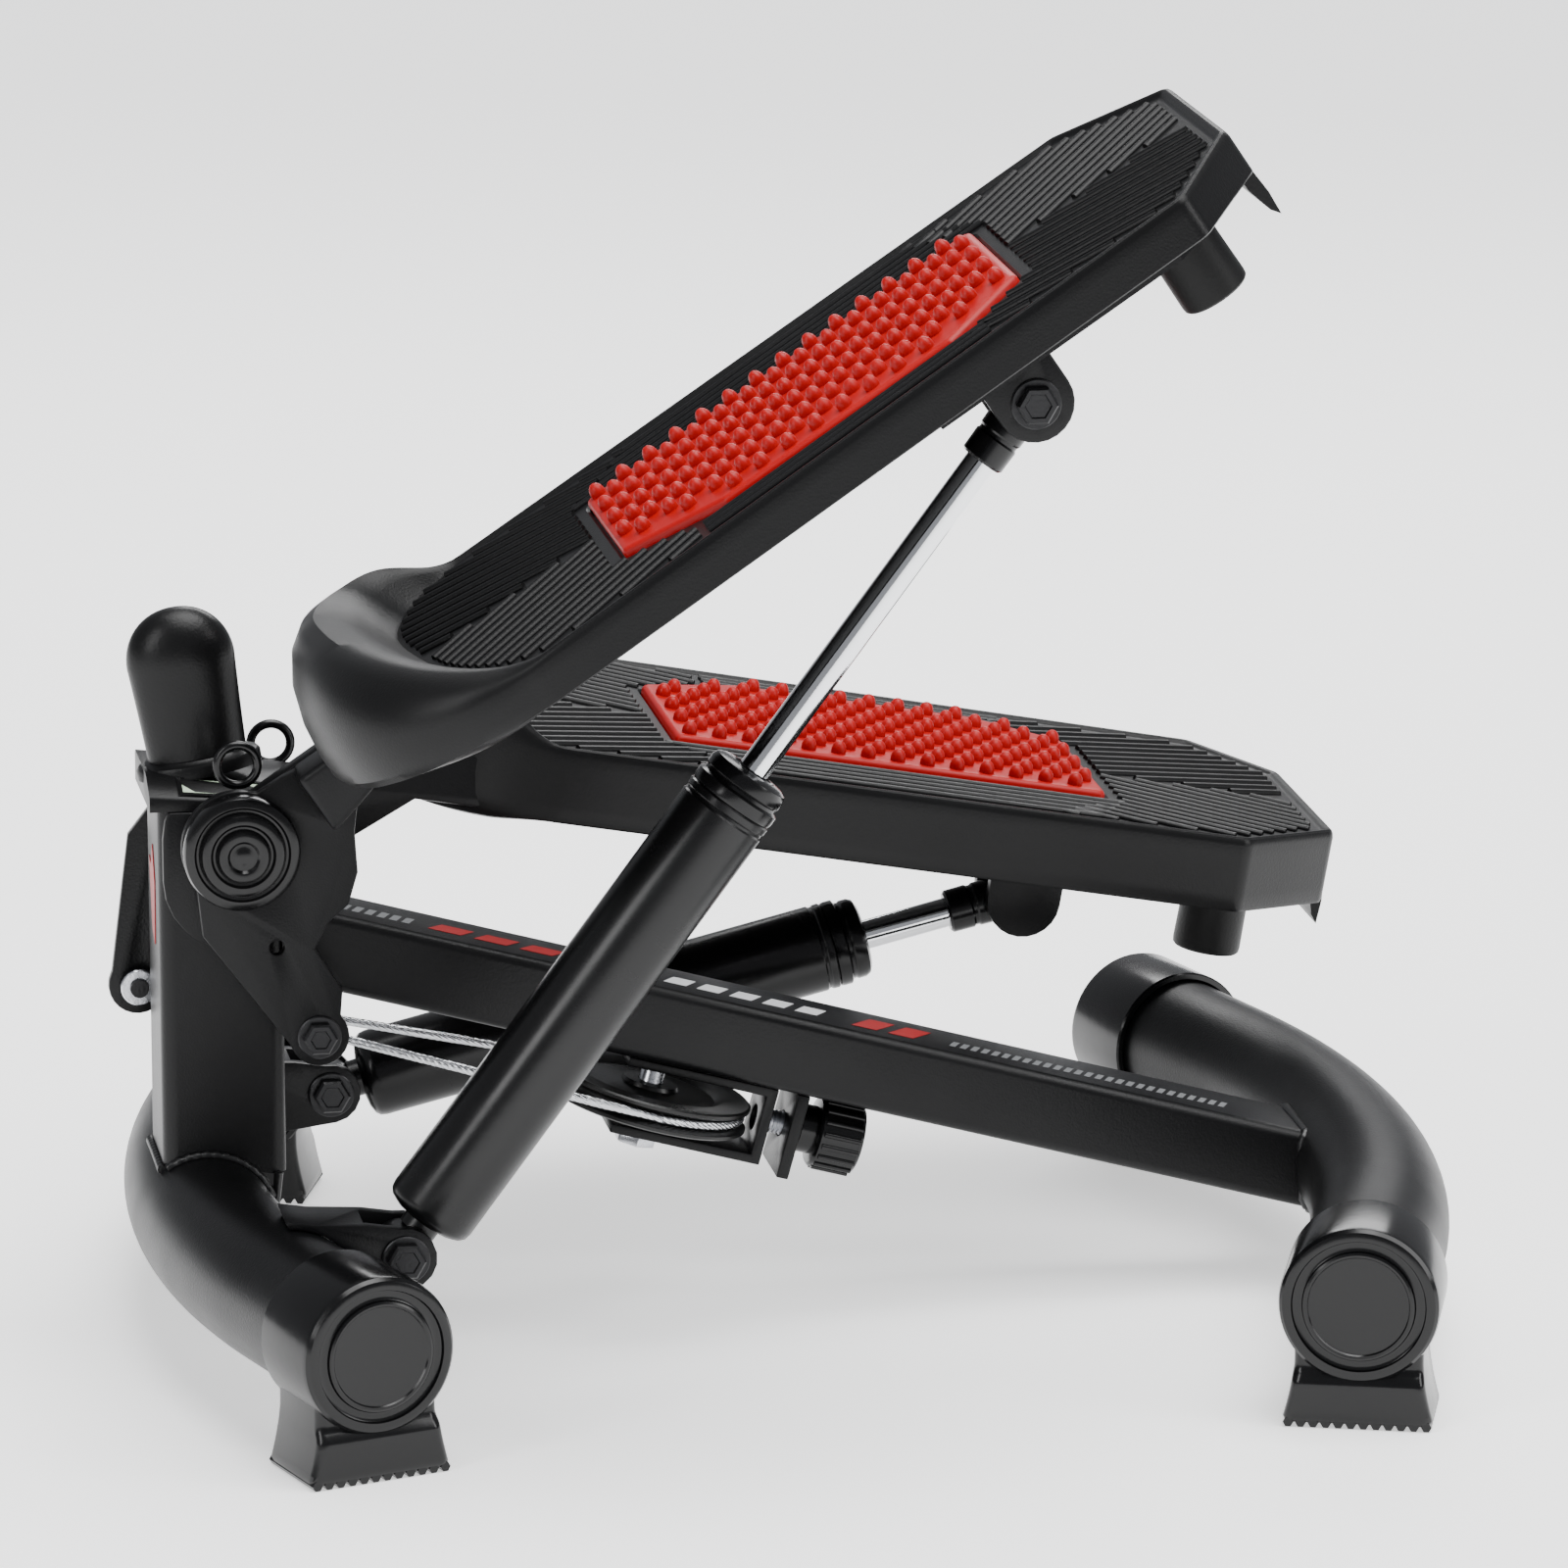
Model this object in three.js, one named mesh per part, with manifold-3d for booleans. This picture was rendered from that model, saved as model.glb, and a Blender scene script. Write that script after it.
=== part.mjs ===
// Mini stepper: two treads hinged on one front axle, worked in turn by a cable and two hydraulic dampers.
// Millimetres, +Z up, +X towards the heel end, -Y is the user's left. The origin is on the floor, mid base.
import * as THREE from 'three';
import { mergeVertices } from 'three/addons/utils/BufferGeometryUtils.js';
import Module from 'manifold-3d';

const wasm = await Module();
wasm.setup();

// ---- sizes shared by several parts --------------------------------------------------------------
const GAP = 0.3;                       // between pieces that touch
const TUBE_R = 22.5, TUBE_WALL = 2;    // round stabilizer tube
const TUBE_Z = 40.5;                   // height of its centre line
const BASE_X = 192;                    // centre line at mid width, front and rear
const BOW_R = 347, BOW_DEG = 18;       // bend radius and half angle of each stabilizer
const BASE_Y = 172;                    // outer face of each end foot
const FOOT_R = 25.5, FOOT_LEN = 34;
const AXLE = { x: -181, z: 169.6, r: 7, y: 43.5 };
const COLUMN = { x0: -205, x1: -165, y: 20, wall: 2.5, top: 178.5 };
const BEAM = { w: 35, h: 25, wall: 2, slope: 15.4, x: -34, top: 109.5 };
const TREAD_Y = 97;                    // middle of each tread, clevis and damper
const LEFT_REST = 34, RIGHT_REST = -10; // tread angles above level at rest, degrees
const PIN = { x: -138, z: 52 };        // lower damper pin
const EYE = { u: 285, w: -11.5 };      // upper damper eye in tread coordinates
const ROD_R = 5, BARREL_R = 14.7, BORE_R = 12.5;

// ---- materials ------------------------------------------------------------------------------------
const material = (color, roughness, metalness) => new THREE.MeshStandardMaterial({ color, roughness, metalness });
const steelBlack = material(0x1d1d1f, 0.45, 0.3);
const plasticBlack = material(0x161617, 0.5, 0);
const glossBlack = material(0x0c0c0d, 0.2, 0);
const rubberRed = material(0xd01822, 0.45, 0);
const rubberBlack = material(0x101010, 0.8, 0);
const chrome = material(0xd8dadd, 0.12, 1);
const zinc = material(0xa9acb0, 0.35, 1);
const nylon = material(0xe4e2da, 0.5, 0);
const lcd = material(0xc9dcc4, 0.25, 0);

// ---- solid helpers ----------------------------------------------------------------------------------
const rad = THREE.MathUtils.degToRad;

function solid(geometry) {
  geometry.deleteAttribute('normal');
  geometry.deleteAttribute('uv');
  const g = mergeVertices(geometry, 1e-4);
  return new wasm.Manifold(new wasm.Mesh({
    numProp: 3,
    vertProperties: new Float32Array(g.attributes.position.array),
    triVerts: new Uint32Array(g.index.array),
  }));
}

function toGeometry(manifold) {
  const m = manifold.getMesh();
  const g = new THREE.BufferGeometry();
  const p = new Float32Array((m.vertProperties.length / m.numProp) * 3);
  for (let i = 0; i < p.length / 3; i++) {
    for (let j = 0; j < 3; j++) p[i * 3 + j] = m.vertProperties[i * m.numProp + j];
  }
  g.setAttribute('position', new THREE.BufferAttribute(p, 3));
  g.setIndex(new THREE.BufferAttribute(new Uint32Array(m.triVerts), 1));
  return g;
}

function box(x0, x1, y0, y1, z0, z1) {
  const g = new THREE.BoxGeometry(x1 - x0, y1 - y0, z1 - z0);
  g.translate((x0 + x1) / 2, (y0 + y1) / 2, (z0 + z1) / 2);
  return solid(g);
}

// round bar of radius r from point a to point b
function bar(r, a, b, segments = 28) {
  const from = new THREE.Vector3(...a), along = new THREE.Vector3(...b).sub(from);
  const g = new THREE.CylinderGeometry(r, r, along.length(), segments);
  g.applyQuaternion(new THREE.Quaternion().setFromUnitVectors(new THREE.Vector3(0, 1, 0), along.clone().normalize()));
  const mid = from.add(along.multiplyScalar(0.5));
  g.translate(mid.x, mid.y, mid.z);
  return solid(g);
}

const crossBar = (r, x, z, y0, y1, segments) => bar(r, [x, y0, z], [x, y1, z], segments);

// outline in the X-Z plane, carried from y0 to y1
function sideSolid(points, y0, y1) {
  const shape = new THREE.Shape(points.map(([x, z]) => new THREE.Vector2(x, z)));
  const g = new THREE.ExtrudeGeometry(shape, { depth: y1 - y0, bevelEnabled: false });
  g.rotateX(Math.PI / 2);
  g.translate(0, y1, 0);
  return solid(g);
}

// outline in the X-Y plane, carried from z0 to z1
function planSolid(points, z0, z1) {
  const shape = new THREE.Shape(points.map(([x, y]) => new THREE.Vector2(x, y)));
  const g = new THREE.ExtrudeGeometry(shape, { depth: z1 - z0, bevelEnabled: false });
  g.translate(0, 0, z0);
  return solid(g);
}

// a half sphere is open at its rim; this closes it with a flat fan
function closed(geometry) {
  geometry.deleteAttribute('normal');
  geometry.deleteAttribute('uv');
  const g = mergeVertices(geometry, 1e-4), p = g.attributes.position, index = [...g.index.array];
  const rim = [];
  for (let i = 0; i < p.count; i++) if (Math.abs(p.getZ(i)) < 1e-4) rim.push(i);
  rim.sort((a, b) => Math.atan2(p.getY(a), p.getX(a)) - Math.atan2(p.getY(b), p.getX(b)));
  for (let i = 1; i < rim.length - 1; i++) index.push(rim[0], rim[i + 1], rim[i]);
  g.setIndex(index);
  return g;
}

const join = (first, ...rest) => rest.reduce((a, b) => a.add(b), first);
const cut = (first, ...rest) => rest.reduce((a, b) => a.subtract(b), first);

function arc(cx, cy, r, from, to, steps) {
  const points = [];
  for (let i = 0; i <= steps; i++) {
    const a = rad(from + ((to - from) * i) / steps);
    points.push([cx + r * Math.cos(a), cy + r * Math.sin(a)]);
  }
  return points;
}

const stepper = new THREE.Group();
stepper.name = 'stepper';
function add(name, manifold, look, parent = stepper) {
  const mesh = new THREE.Mesh(manifold.isBufferGeometry ? manifold : toGeometry(manifold), look);
  mesh.name = name;
  parent.add(mesh);
  return mesh;
}

// ---- stabilizers: bowed round tubes, bent about one radius with straight ends --------------------------
const bend = rad(BOW_DEG);
const bendY = BOW_R * Math.sin(bend), bendX = BOW_R * (1 - Math.cos(bend));
const tubeOffset = (y) => (Math.abs(y) < bendY
  ? BOW_R - Math.sqrt(BOW_R ** 2 - y * y)
  : bendX + (Math.abs(y) - bendY) * Math.tan(bend));
const endX = BASE_X - tubeOffset(BASE_Y);

function stabilizer(side) {
  const inner = 3.8;                       // the tube stops inside the foot's end wall
  const tip = BASE_Y - inner * Math.cos(bend);
  const tipX = BASE_X - tubeOffset(BASE_Y) + inner * Math.sin(bend);
  const points = [[tipX, -tip]];
  for (let i = -8; i <= 8; i++) {
    const y = (bendY * i) / 8;
    points.push([BASE_X - tubeOffset(y), y]);
  }
  points.push([tipX, tip]);
  const path = new THREE.CurvePath();
  for (let i = 1; i < points.length; i++) {
    const a = points[i - 1], b = points[i];
    path.add(new THREE.LineCurve3(new THREE.Vector3(side * a[0], a[1], TUBE_Z), new THREE.Vector3(side * b[0], b[1], TUBE_Z)));
  }
  const ring = new THREE.Shape().absarc(0, 0, TUBE_R, 0, Math.PI * 2);
  ring.holes.push(new THREE.Path().absarc(0, 0, TUBE_R - TUBE_WALL, 0, Math.PI * 2, true));
  return solid(new THREE.ExtrudeGeometry(ring, { steps: 18, curveSegments: 12, bevelEnabled: false, extrudePath: path }));
}
add('front_stabilizer', stabilizer(-1), steelBlack);
add('rear_stabilizer', stabilizer(1), steelBlack);

// ---- feet: a cup over each tube end with a flared, grooved foot under it ---------------------------------
const flare = [[-21.5, 30], [-20.5, 21], [-24, 7], [-24, 0], [24, 0], [24, 7], [20.5, 21], [21.5, 30]];
const faceGroove = cut(
  bar(21, [0, -1.2, TUBE_Z], [0, 1, TUBE_Z], 28),
  bar(17.5, [0, -1.3, TUBE_Z], [0, 1.1, TUBE_Z], 28),
);
const foot = toGeometry(cut(
  join(bar(FOOT_R, [0, -FOOT_LEN, TUBE_Z], [0, 0, TUBE_Z], 32), sideSolid(flare, -FOOT_LEN, 0)),
  bar(TUBE_R + GAP + 0.2, [0, -FOOT_LEN - 1, TUBE_Z], [0, -3.5, TUBE_Z], 24),
  faceGroove,
));
for (const [name, end, side, turn] of [
  ['front_left_foot', -1, -1, 180 + BOW_DEG], ['front_right_foot', -1, 1, -BOW_DEG],
  ['rear_left_foot', 1, -1, 180 - BOW_DEG], ['rear_right_foot', 1, 1, BOW_DEG],
]) {
  const mesh = add(name, foot, glossBlack);
  mesh.position.set(end * endX, side * BASE_Y, 0);
  mesh.rotation.z = rad(turn);
}

// ---- column: square tube standing over the front stabilizer, with the axle through it -------------------
const columnOutline = (inset) => [COLUMN.x0 + inset, COLUMN.x1 - inset, -COLUMN.y + inset, COLUMN.y - inset];
add('front_column', cut(
  box(...columnOutline(0), 56, COLUMN.top),
  box(...columnOutline(COLUMN.wall), 50, COLUMN.top + 5),
  crossBar(TUBE_R + 1.4, -BASE_X + 0.4, TUBE_Z, -30, 30, 40),
  crossBar(AXLE.r + GAP, AXLE.x, AXLE.z, -30, 30),
), steelBlack);

// stadium plates welded on both sides of the column where the axle passes
const stadium = [...arc(AXLE.x, AXLE.z, 23, 0, 180, 12), ...arc(AXLE.x, AXLE.z - 14, 23, 180, 360, 12)];
const axleHole = crossBar(AXLE.r + GAP, AXLE.x, AXLE.z, -60, 60);
const trimTop = box(-240, -120, -40, 40, 178.5, 210);
for (const [name, side] of [['left_axle_plate', -1], ['right_axle_plate', 1]]) {
  const y = side * (COLUMN.y + 2.15);
  add(name, cut(sideSolid(stadium, y - 1.85, y + 1.85), axleHole, trimTop), steelBlack);
}

add('pivot_axle', crossBar(AXLE.r, AXLE.x, AXLE.z, -AXLE.y, AXLE.y), zinc);

// press-on caps over both axle ends, stepped on the outside
for (const [name, side] of [['left_axle_cap', -1], ['right_axle_cap', 1]]) {
  const disc = (r, a, b) => crossBar(r, AXLE.x, AXLE.z, Math.min(side * a, side * b), Math.max(side * a, side * b), 28);
  add(name, cut(join(disc(18.7, 40.8, 47), disc(13, 46, 49), disc(8, 48, 50.5)), disc(AXLE.r + GAP, 40, 44)), glossBlack);
}

// ---- main beam: rectangular tube from the column down to the rear stabilizer -----------------------------
const beam = new THREE.Group();
beam.position.set(BEAM.x, 0, BEAM.top);
beam.rotation.y = rad(BEAM.slope);
stepper.add(beam);
beam.updateMatrixWorld(true);
const toBeam = beam.matrixWorld.clone().invert();
// a solid made in the base frame, carried into the beam's own frame
function inBeam(manifold) {
  const g = toGeometry(manifold);
  g.applyMatrix4(toBeam);
  return solid(g);
}
const half = BEAM.w / 2;
add('main_beam', cut(
  box(-140, 240, -half, half, -BEAM.h, 0),
  box(-145, 245, -half + BEAM.wall, half - BEAM.wall, -BEAM.h + BEAM.wall, -BEAM.wall),
  inBeam(box(-260, COLUMN.x1 + GAP, -60, 60, 60, 240)),
  inBeam(crossBar(TUBE_R + GAP + 0.6, BASE_X - 0.3, TUBE_Z, -40, 40, 48)),
  inBeam(box(BASE_X - 6, 300, -40, 40, -20, 120)),
), steelBlack, beam);

// ---- cable pulley under the beam, with its bracket and the step height adjuster ----------------------------
const WHEEL_N = -39, WHEEL_R = 34, CABLE_PATH_R = 31.5;
const groove = 2.6;
const wheelProfile = [[4.3, -4.5], [WHEEL_R, -4.5], [WHEEL_R, -groove], [CABLE_PATH_R - 2.2, -1.6],
  [CABLE_PATH_R - 2.2, 1.6], [WHEEL_R, groove], [WHEEL_R, 4.5], [4.3, 4.5], [4.3, -4.5]];
const wheel = new THREE.LatheGeometry(wheelProfile.map(([r, n]) => new THREE.Vector2(r, n)), 28);
wheel.rotateX(Math.PI / 2);
wheel.translate(0, 0, WHEEL_N);
add('pulley', solid(wheel), plasticBlack, beam);

const shaftHole = bar(4.3, [0, 0, -60], [0, 0, -20]);
add('pulley_bracket', cut(
  join(box(-11, 40, -11, 11, -29, -26), box(36.5, 40, -11, 11, -52, -26), box(-11, 40, -11, 11, -52, -49)),
  shaftHole,
  bar(4.3, [30, 0, WHEEL_N], [50, 0, WHEEL_N]),
), steelBlack, beam);
add('pulley_axle', join(bar(4, [0, 0, -53.5], [0, 0, -26.4]), bar(7, [0, 0, -56], [0, 0, -52.4], 6)), zinc, beam);
add('adjuster_bracket', cut(
  box(46, 50, -14, 14, -54, -BEAM.h - GAP),
  bar(4.3, [40, 0, WHEEL_N], [60, 0, WHEEL_N]),
), steelBlack, beam);
add('adjuster_screw', bar(4, [38, 0, WHEEL_N], [68, 0, WHEEL_N], 20), zinc, beam);
add('adjuster_knob', cut(
  join(bar(12, [57, 0, WHEEL_N], [72, 0, WHEEL_N], 16), bar(8, [51, 0, WHEEL_N], [58, 0, WHEEL_N], 20)),
  bar(4.3, [50, 0, WHEEL_N], [68.4, 0, WHEEL_N], 20),
), plasticBlack, beam);

// ---- console on the column, with the display, its button, a battery cover and the carry grip ----------------
const console3 = { x0: -214, x1: -158, y: 24, z0: 178.8, rear: 182.5, front: 189.5 };
const consoleSide = [[console3.x0, console3.z0], [console3.x1, console3.z0], [console3.x1, console3.rear],
  [console3.x0 + 4, console3.front], [console3.x0, console3.front - 2]];
const lensPocket = box(-198.5, -171.5, -21.5, -12.5, 181, 192);
const buttonHole = bar(3.3, [-165.5, -17, 181], [-165.5, -17, 192], 20);
const batteryPocket = box(-199, -171, 13, 25, 177, 182.4);
add('console_housing', cut(
  sideSolid(consoleSide, -console3.y, console3.y),
  cut(lensPocket, sideSolid([[-220, 170], [-150, 170], [-150, 179.1], [-220, 187.7]], -30, 30)),
  buttonHole,
  batteryPocket,
), plasticBlack);
const displaySide = [[-198.2, 185.5], [-171.8, 182.2], [-171.8, 183.9], [-198.2, 187.15]];
add('console_window', sideSolid(displaySide, -21.2, -12.8), lcd);
add('console_button', bar(3, [-165.5, -17, 181.8], [-165.5, -17, 185.2], 20), rubberRed);
add('battery_cover', box(-198.7, -171.3, 13.3, 24, 178.8, 182.1), plasticBlack);

// flattened grip leaning a little forward, round on top
const grip = new THREE.SphereGeometry(17.5, 20, 7, 0, Math.PI * 2, 0, Math.PI / 2);
grip.rotateX(Math.PI / 2);
const gripBody = new THREE.CylinderGeometry(17.5, 15.5, 44, 20);
gripBody.rotateX(Math.PI / 2);
gripBody.translate(0, 0, -21.9);
const dome = join(solid(closed(grip)), solid(gripBody));
const gripGeometry = toGeometry(dome);
gripGeometry.scale(1, 0.64, 1);
gripGeometry.rotateY(rad(-9));
gripGeometry.translate(-195, 0, 223.2);
add('carry_grip', cut(solid(gripGeometry), sideSolid([[-260, 150], [-120, 150], [-120, 177.7], [-210, 189.9],
  [-216, 189.9], [-260, 189.9]], -40, 40)), plasticBlack);

// ---- lower damper clevises, saddled on the front stabilizer, with their pins --------------------------------
const pinTubeX = -(BASE_X - tubeOffset(TREAD_Y));
const tangent = Math.asin(TREAD_Y / BOW_R);
const clevisSide = [[-167, 47], [-160, 39], ...arc(PIN.x, PIN.z, 10, -80, 100, 8), [-150, 63.5], [-167, 64.5],
  [-176, 66]];
for (const [name, side] of [['left', -1], ['right', 1]]) {
  const y = side * TREAD_Y;
  const tube = bar(TUBE_R + GAP + 0.2,
    [pinTubeX - 40 * Math.sin(tangent), y - side * 40 * Math.cos(tangent), TUBE_Z],
    [pinTubeX + 40 * Math.sin(tangent), y + side * 40 * Math.cos(tangent), TUBE_Z], 48);
  add(`${name}_base_clevis`, cut(
    sideSolid(clevisSide, y - 11, y + 11),
    box(-151, -120, y - 7, y + 7, 20, 90),
    crossBar(4.3, PIN.x, PIN.z, y - 20, y + 20, 20),
    tube,
  ), steelBlack);
  add(`${name}_base_pin`, join(
    crossBar(4, PIN.x, PIN.z, y - 12, y + 12, 20),
    crossBar(6.2, PIN.x, PIN.z, y - 15, y - 11.3, 6),
    crossBar(6.2, PIN.x, PIN.z, y + 11.3, y + 15, 6),
  ), zinc);
}

// ---- dampers: barrel on the lower pin, gland, rod, piston and upper eye, made along +X from the pin -----------
const FACE = 188, ROD = { ferrule: 23, back: 180 };
function damper(name, side, angle, length) {
  const group = new THREE.Group();
  group.position.set(PIN.x, side * TREAD_Y, PIN.z);
  group.rotation.y = rad(-angle);
  stepper.add(group);
  const along = (r, a, b, n = 24) => bar(r, [a, 0, 0], [b, 0, 0], n);
  const lug = (x, r, hole, w) => cut(crossBar(r, x, 0, -w, w), crossBar(hole, x, 0, -w - 1, w + 1, 20));
  add(`${name}_barrel`, cut(
    join(along(BARREL_R, 13, 176), along(6.3, 5, 14, 20), crossBar(9, 0, 0, -6, 6)),
    along(BORE_R, 18, 180),
    crossBar(4.3, 0, 0, -10, 10, 20),
  ), glossBlack, group);
  add(`${name}_gland`, cut(
    join(along(BORE_R - GAP, 168, 177), along(BARREL_R, 176.3, FACE)),
    along(ROD_R + GAP, 160, 200, 28),
  ), plasticBlack, group);
  const back = length - ROD.back;
  add(`${name}_piston_rod`, join(
    along(ROD_R, back + 10.3, length - ROD.ferrule - GAP, 24),
    along(3, back - 3, back + 11, 16),
  ), chrome, group);
  add(`${name}_piston`, cut(along(BORE_R - GAP, back, back + 10, 28), along(3.3, back - 5, back + 15, 16)),
    nylon, group);
  add(`${name}_rod_eye`, join(along(7.2, length - ROD.ferrule, length - 7, 24), lug(length, 10, 5, 7)),
    plasticBlack, group);
}
function eyeAt(angle) {
  const c = Math.cos(rad(angle)), s = Math.sin(rad(angle));
  const dx = AXLE.x + EYE.u * c - EYE.w * s - PIN.x, dz = AXLE.z + EYE.u * s + EYE.w * c - PIN.z;
  return [THREE.MathUtils.radToDeg(Math.atan2(dz, dx)), Math.hypot(dx, dz)];
}
damper('left_damper', -1, ...eyeAt(LEFT_REST));
damper('right_damper', 1, ...eyeAt(RIGHT_REST));

// ---- treads: everything that swings with one foot, made in tread coordinates about the axle --------------------
// u runs back along the tread, v outwards from the middle of the stepper, w up
const TREAD = { inner: 22, outerFront: 181, outerRear: 174, heel: 379, skirt: 8, top: 33, wall: 3 };
const toeSide = [[62, 0], [47, 6], [40, 20], [40, 34], [45, 47], [54, 57], [67, 63], [80, 62], [89, 55], [96, 44],
  [104, TREAD.top], [400, TREAD.top], [400, TREAD.skirt], [110, TREAD.skirt], [84, 2]];
const outline = (d) => [
  [112, TREAD.inner + d], [342, TREAD.inner + d], [TREAD.heel - d, 54 + d], [TREAD.heel - d, 138 - d],
  [354, TREAD.outerRear - d], [112, TREAD.outerFront - d], [86, 178 - d], [62 + d, 164 - d],
  [46 + d, 138], [40 + d, 104], [42 + d, 70], [56 + d, 42 + d], [80 + d, 27 + d],
];
const plateOutline = (d) => [[153 + d, 62 + d], [301 - d, 62 + d], [301 - d, 138 - d], [272, 157 - d],
  [188, 157 - d], [153 + d, 138 - d]];
const levers = rad(-102.6);              // the cable lever hangs this far round from the tread's line

function tread(name, side, angle) {
  const group = new THREE.Group();
  group.position.set(AXLE.x, 0, AXLE.z);
  group.rotation.y = rad(-angle);
  stepper.add(group);
  const ys = (a, b) => (side > 0 ? [a, b] : [-b, -a]);
  const plan = (points, w0, w1) => planSolid(points.map(([u, v]) => [u, side * v]), w0, w1);
  const across = (points, v0, v1) => sideSolid(points, ...ys(v0, v1));
  const round = (r, u, w, v0, v1, n) => crossBar(r, u, w, ...ys(v0, v1), n);
  const block = (u0, u1, v0, v1, w0, w1) => box(u0, u1, ...ys(v0, v1), w0, w1);

  // hub sleeve, box arm and the cross plate under the tread
  const armSide = [[8, -15], [48, -15], [76, 9], [335, 9], [335, 26], [74, 26], [40, 12], [8, 12]];
  add(`${name}_arm`, cut(
    join(
      round(15, 0, 0, 25.3, 40.4, 36),
      across(armSide, 26, 33.4),
      across([[26, -15], [48, -15], [76, 9], [335, 9], [335, 26], [74, 26], [40, 12], [26, 12]], 33, 52),
      plan([[255, 30], [335, 30], [368, 62], [368, 128], [345, 150], [255, 150]], 9, 12),
    ),
    round(10.6, 0, 0, 20, 60, 32),
    across([[78, 12.1], [330, 12.1], [330, 23.5], [78, 23.5]], 29, 49),
    block(326, 340, 29, 49, 12.1, 23.5),
  ), steelBlack, group);
  add(`${name}_bush`, cut(round(10.3, 0, 0, 24.6, 40.4, 32), round(AXLE.r + GAP, 0, 0, 20, 60)), nylon, group);

  // flat lever that takes the cable, round at the hub and at its end
  const reach = 68, end = [reach * Math.cos(levers), reach * Math.sin(levers)];
  const tilt = THREE.MathUtils.radToDeg(levers);
  const leverOutline = [...arc(0, 0, 24, tilt + 80, tilt + 280, 14), ...arc(end[0], end[1], 9.6, tilt - 80, tilt + 80, 8)];
  add(`${name}_lever`, cut(
    across(leverOutline, 33.9, 37.9),
    round(15.3, 0, 0, 30, 60, 36),
    round(3.3, end[0], end[1], 30, 60, 16),
    across([[8, -16], [60, -16], [60, 30], [8, 30]], 33, 39),
  ), steelBlack, group);
  add(`${name}_lever_bolt`, join(
    round(3, end[0], end[1], 28.5, 41, 16),
    round(6, end[0], end[1], 38.2, 42, 6),
  ), zinc, group);

  // moulded tread with a toe wall, skirt, a pocket for the massage plate and an open underside
  const body = plan(outline(0), -5, 70).intersect(across(toeSide, 10, 200));
  const hollow = cut(plan(outline(TREAD.wall), -30, 28), block(30, 62, 0, 200, -30, 70));
  const toeWell = plan([[78, 30], [112, 30], [112, 176], [92, 172], [72, 160], [60, 136], [56, 104], [60, 70], [68, 44]],
    36, 90);
  add(`${name}_shell`, cut(
    body, hollow, toeWell,
    across([[30, -20], [112, -20], [112, 28], [66, 28], [64, 24], [50, 18], [30, 14]], 20, 54)
      .intersect(cut(block(20, 120, 10, 60, -30, 40), block(92, 130, 0, 25, -30, 40))),
    plan(plateOutline(-0.4), 30, 50),
  ), plasticBlack, group);

  // soft plate with staggered round nubs
  let plate = plan(plateOutline(0), 30.3, 34.5);
  const nubs = [];
  for (let row = 0; row < 5; row++) {
    for (let i = 0; i < 11; i++) {
      const u = 163 + i * 12.4 + (row % 2) * 6.2, v = 71 + row * 17.5;
      if (u > 292 || (v > 134 && (u < 176 || u > 280))) continue;
      nubs.push(bar(3.4, [u, side * v, 34], [u, side * v, 38.5], 6));
    }
  }
  add(`${name}_massage_plate`, join(plate, ...nubs), rubberRed, group);

  // clevis for the damper eye: two ears under a bridge; the bolt stops in the outer ear
  const ear = [...arc(EYE.u, EYE.w, 12.5, 180, 360, 12), [EYE.u + 12.5, 8.7], [EYE.u - 12.5, 8.7]];
  add(`${name}_clevis`, cut(
    across(ear, TREAD_Y - 12.3, TREAD_Y + 12.3),
    block(EYE.u - 30, EYE.u + 30, TREAD_Y - 8, TREAD_Y + 8, -40, 5.4),
    round(4.3, EYE.u, EYE.w, TREAD_Y, TREAD_Y + 20, 20),
  ), steelBlack, group);
  add(`${name}_clevis_bolt`, join(
    round(4, EYE.u, EYE.w, TREAD_Y + 8.3, TREAD_Y + 13, 20),
    round(6.6, EYE.u, EYE.w, TREAD_Y + 12.6, TREAD_Y + 16.5, 6),
  ), zinc, group);
  add(`${name}_bumper`, bar(11.5, [352, side * 92, -21], [352, side * 92, 8.7], 28), rubberBlack, group);

  // rope eyelet standing on the hub
  const ring = new THREE.TorusGeometry(6.5, 1.5, 6, 18);
  ring.rotateX(Math.PI / 2);
  ring.translate(14.5, side * 29.5, 20.6);
  add(`${name}_rope_ring`, solid(ring), zinc, group);
}
tread('left_tread', -1, LEFT_REST);
tread('right_tread', 1, RIGHT_REST);

// ---- drive cable: from one lever, round the pulley, to the other lever -------------------------------------------
const leverEnd = (angle, side) => {
  const a = levers + rad(angle);
  return new THREE.Vector3(AXLE.x + 68 * Math.cos(a), side * CABLE_PATH_R, AXLE.z + 68 * Math.sin(a));
};
const cableRun = new THREE.CurvePath();
const cablePoints = [leverEnd(LEFT_REST, -1)];
for (let i = 0; i <= 12; i++) {
  const a = -Math.PI / 2 + (Math.PI * i) / 12;
  cablePoints.push(new THREE.Vector3(CABLE_PATH_R * Math.cos(a), CABLE_PATH_R * Math.sin(a), WHEEL_N)
    .applyMatrix4(beam.matrixWorld));
}
cablePoints.push(leverEnd(RIGHT_REST, 1));
const inset = (from, to, d) => from.clone().lerp(to, d / from.distanceTo(to));
cablePoints[0] = inset(cablePoints[0], cablePoints[1], 6);
cablePoints[cablePoints.length - 1] = inset(cablePoints.at(-1), cablePoints.at(-2), 6);
for (let i = 1; i < cablePoints.length; i++) {
  cableRun.add(new THREE.LineCurve3(cablePoints[i - 1], cablePoints[i]));
}
const strand = new THREE.Shape().absarc(0, 0, 1.5, 0, Math.PI * 2);
add('drive_cable', solid(new THREE.ExtrudeGeometry(strand,
  { steps: 36, curveSegments: 3, bevelEnabled: false, extrudePath: cableRun })), zinc);

export default stepper;
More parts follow.
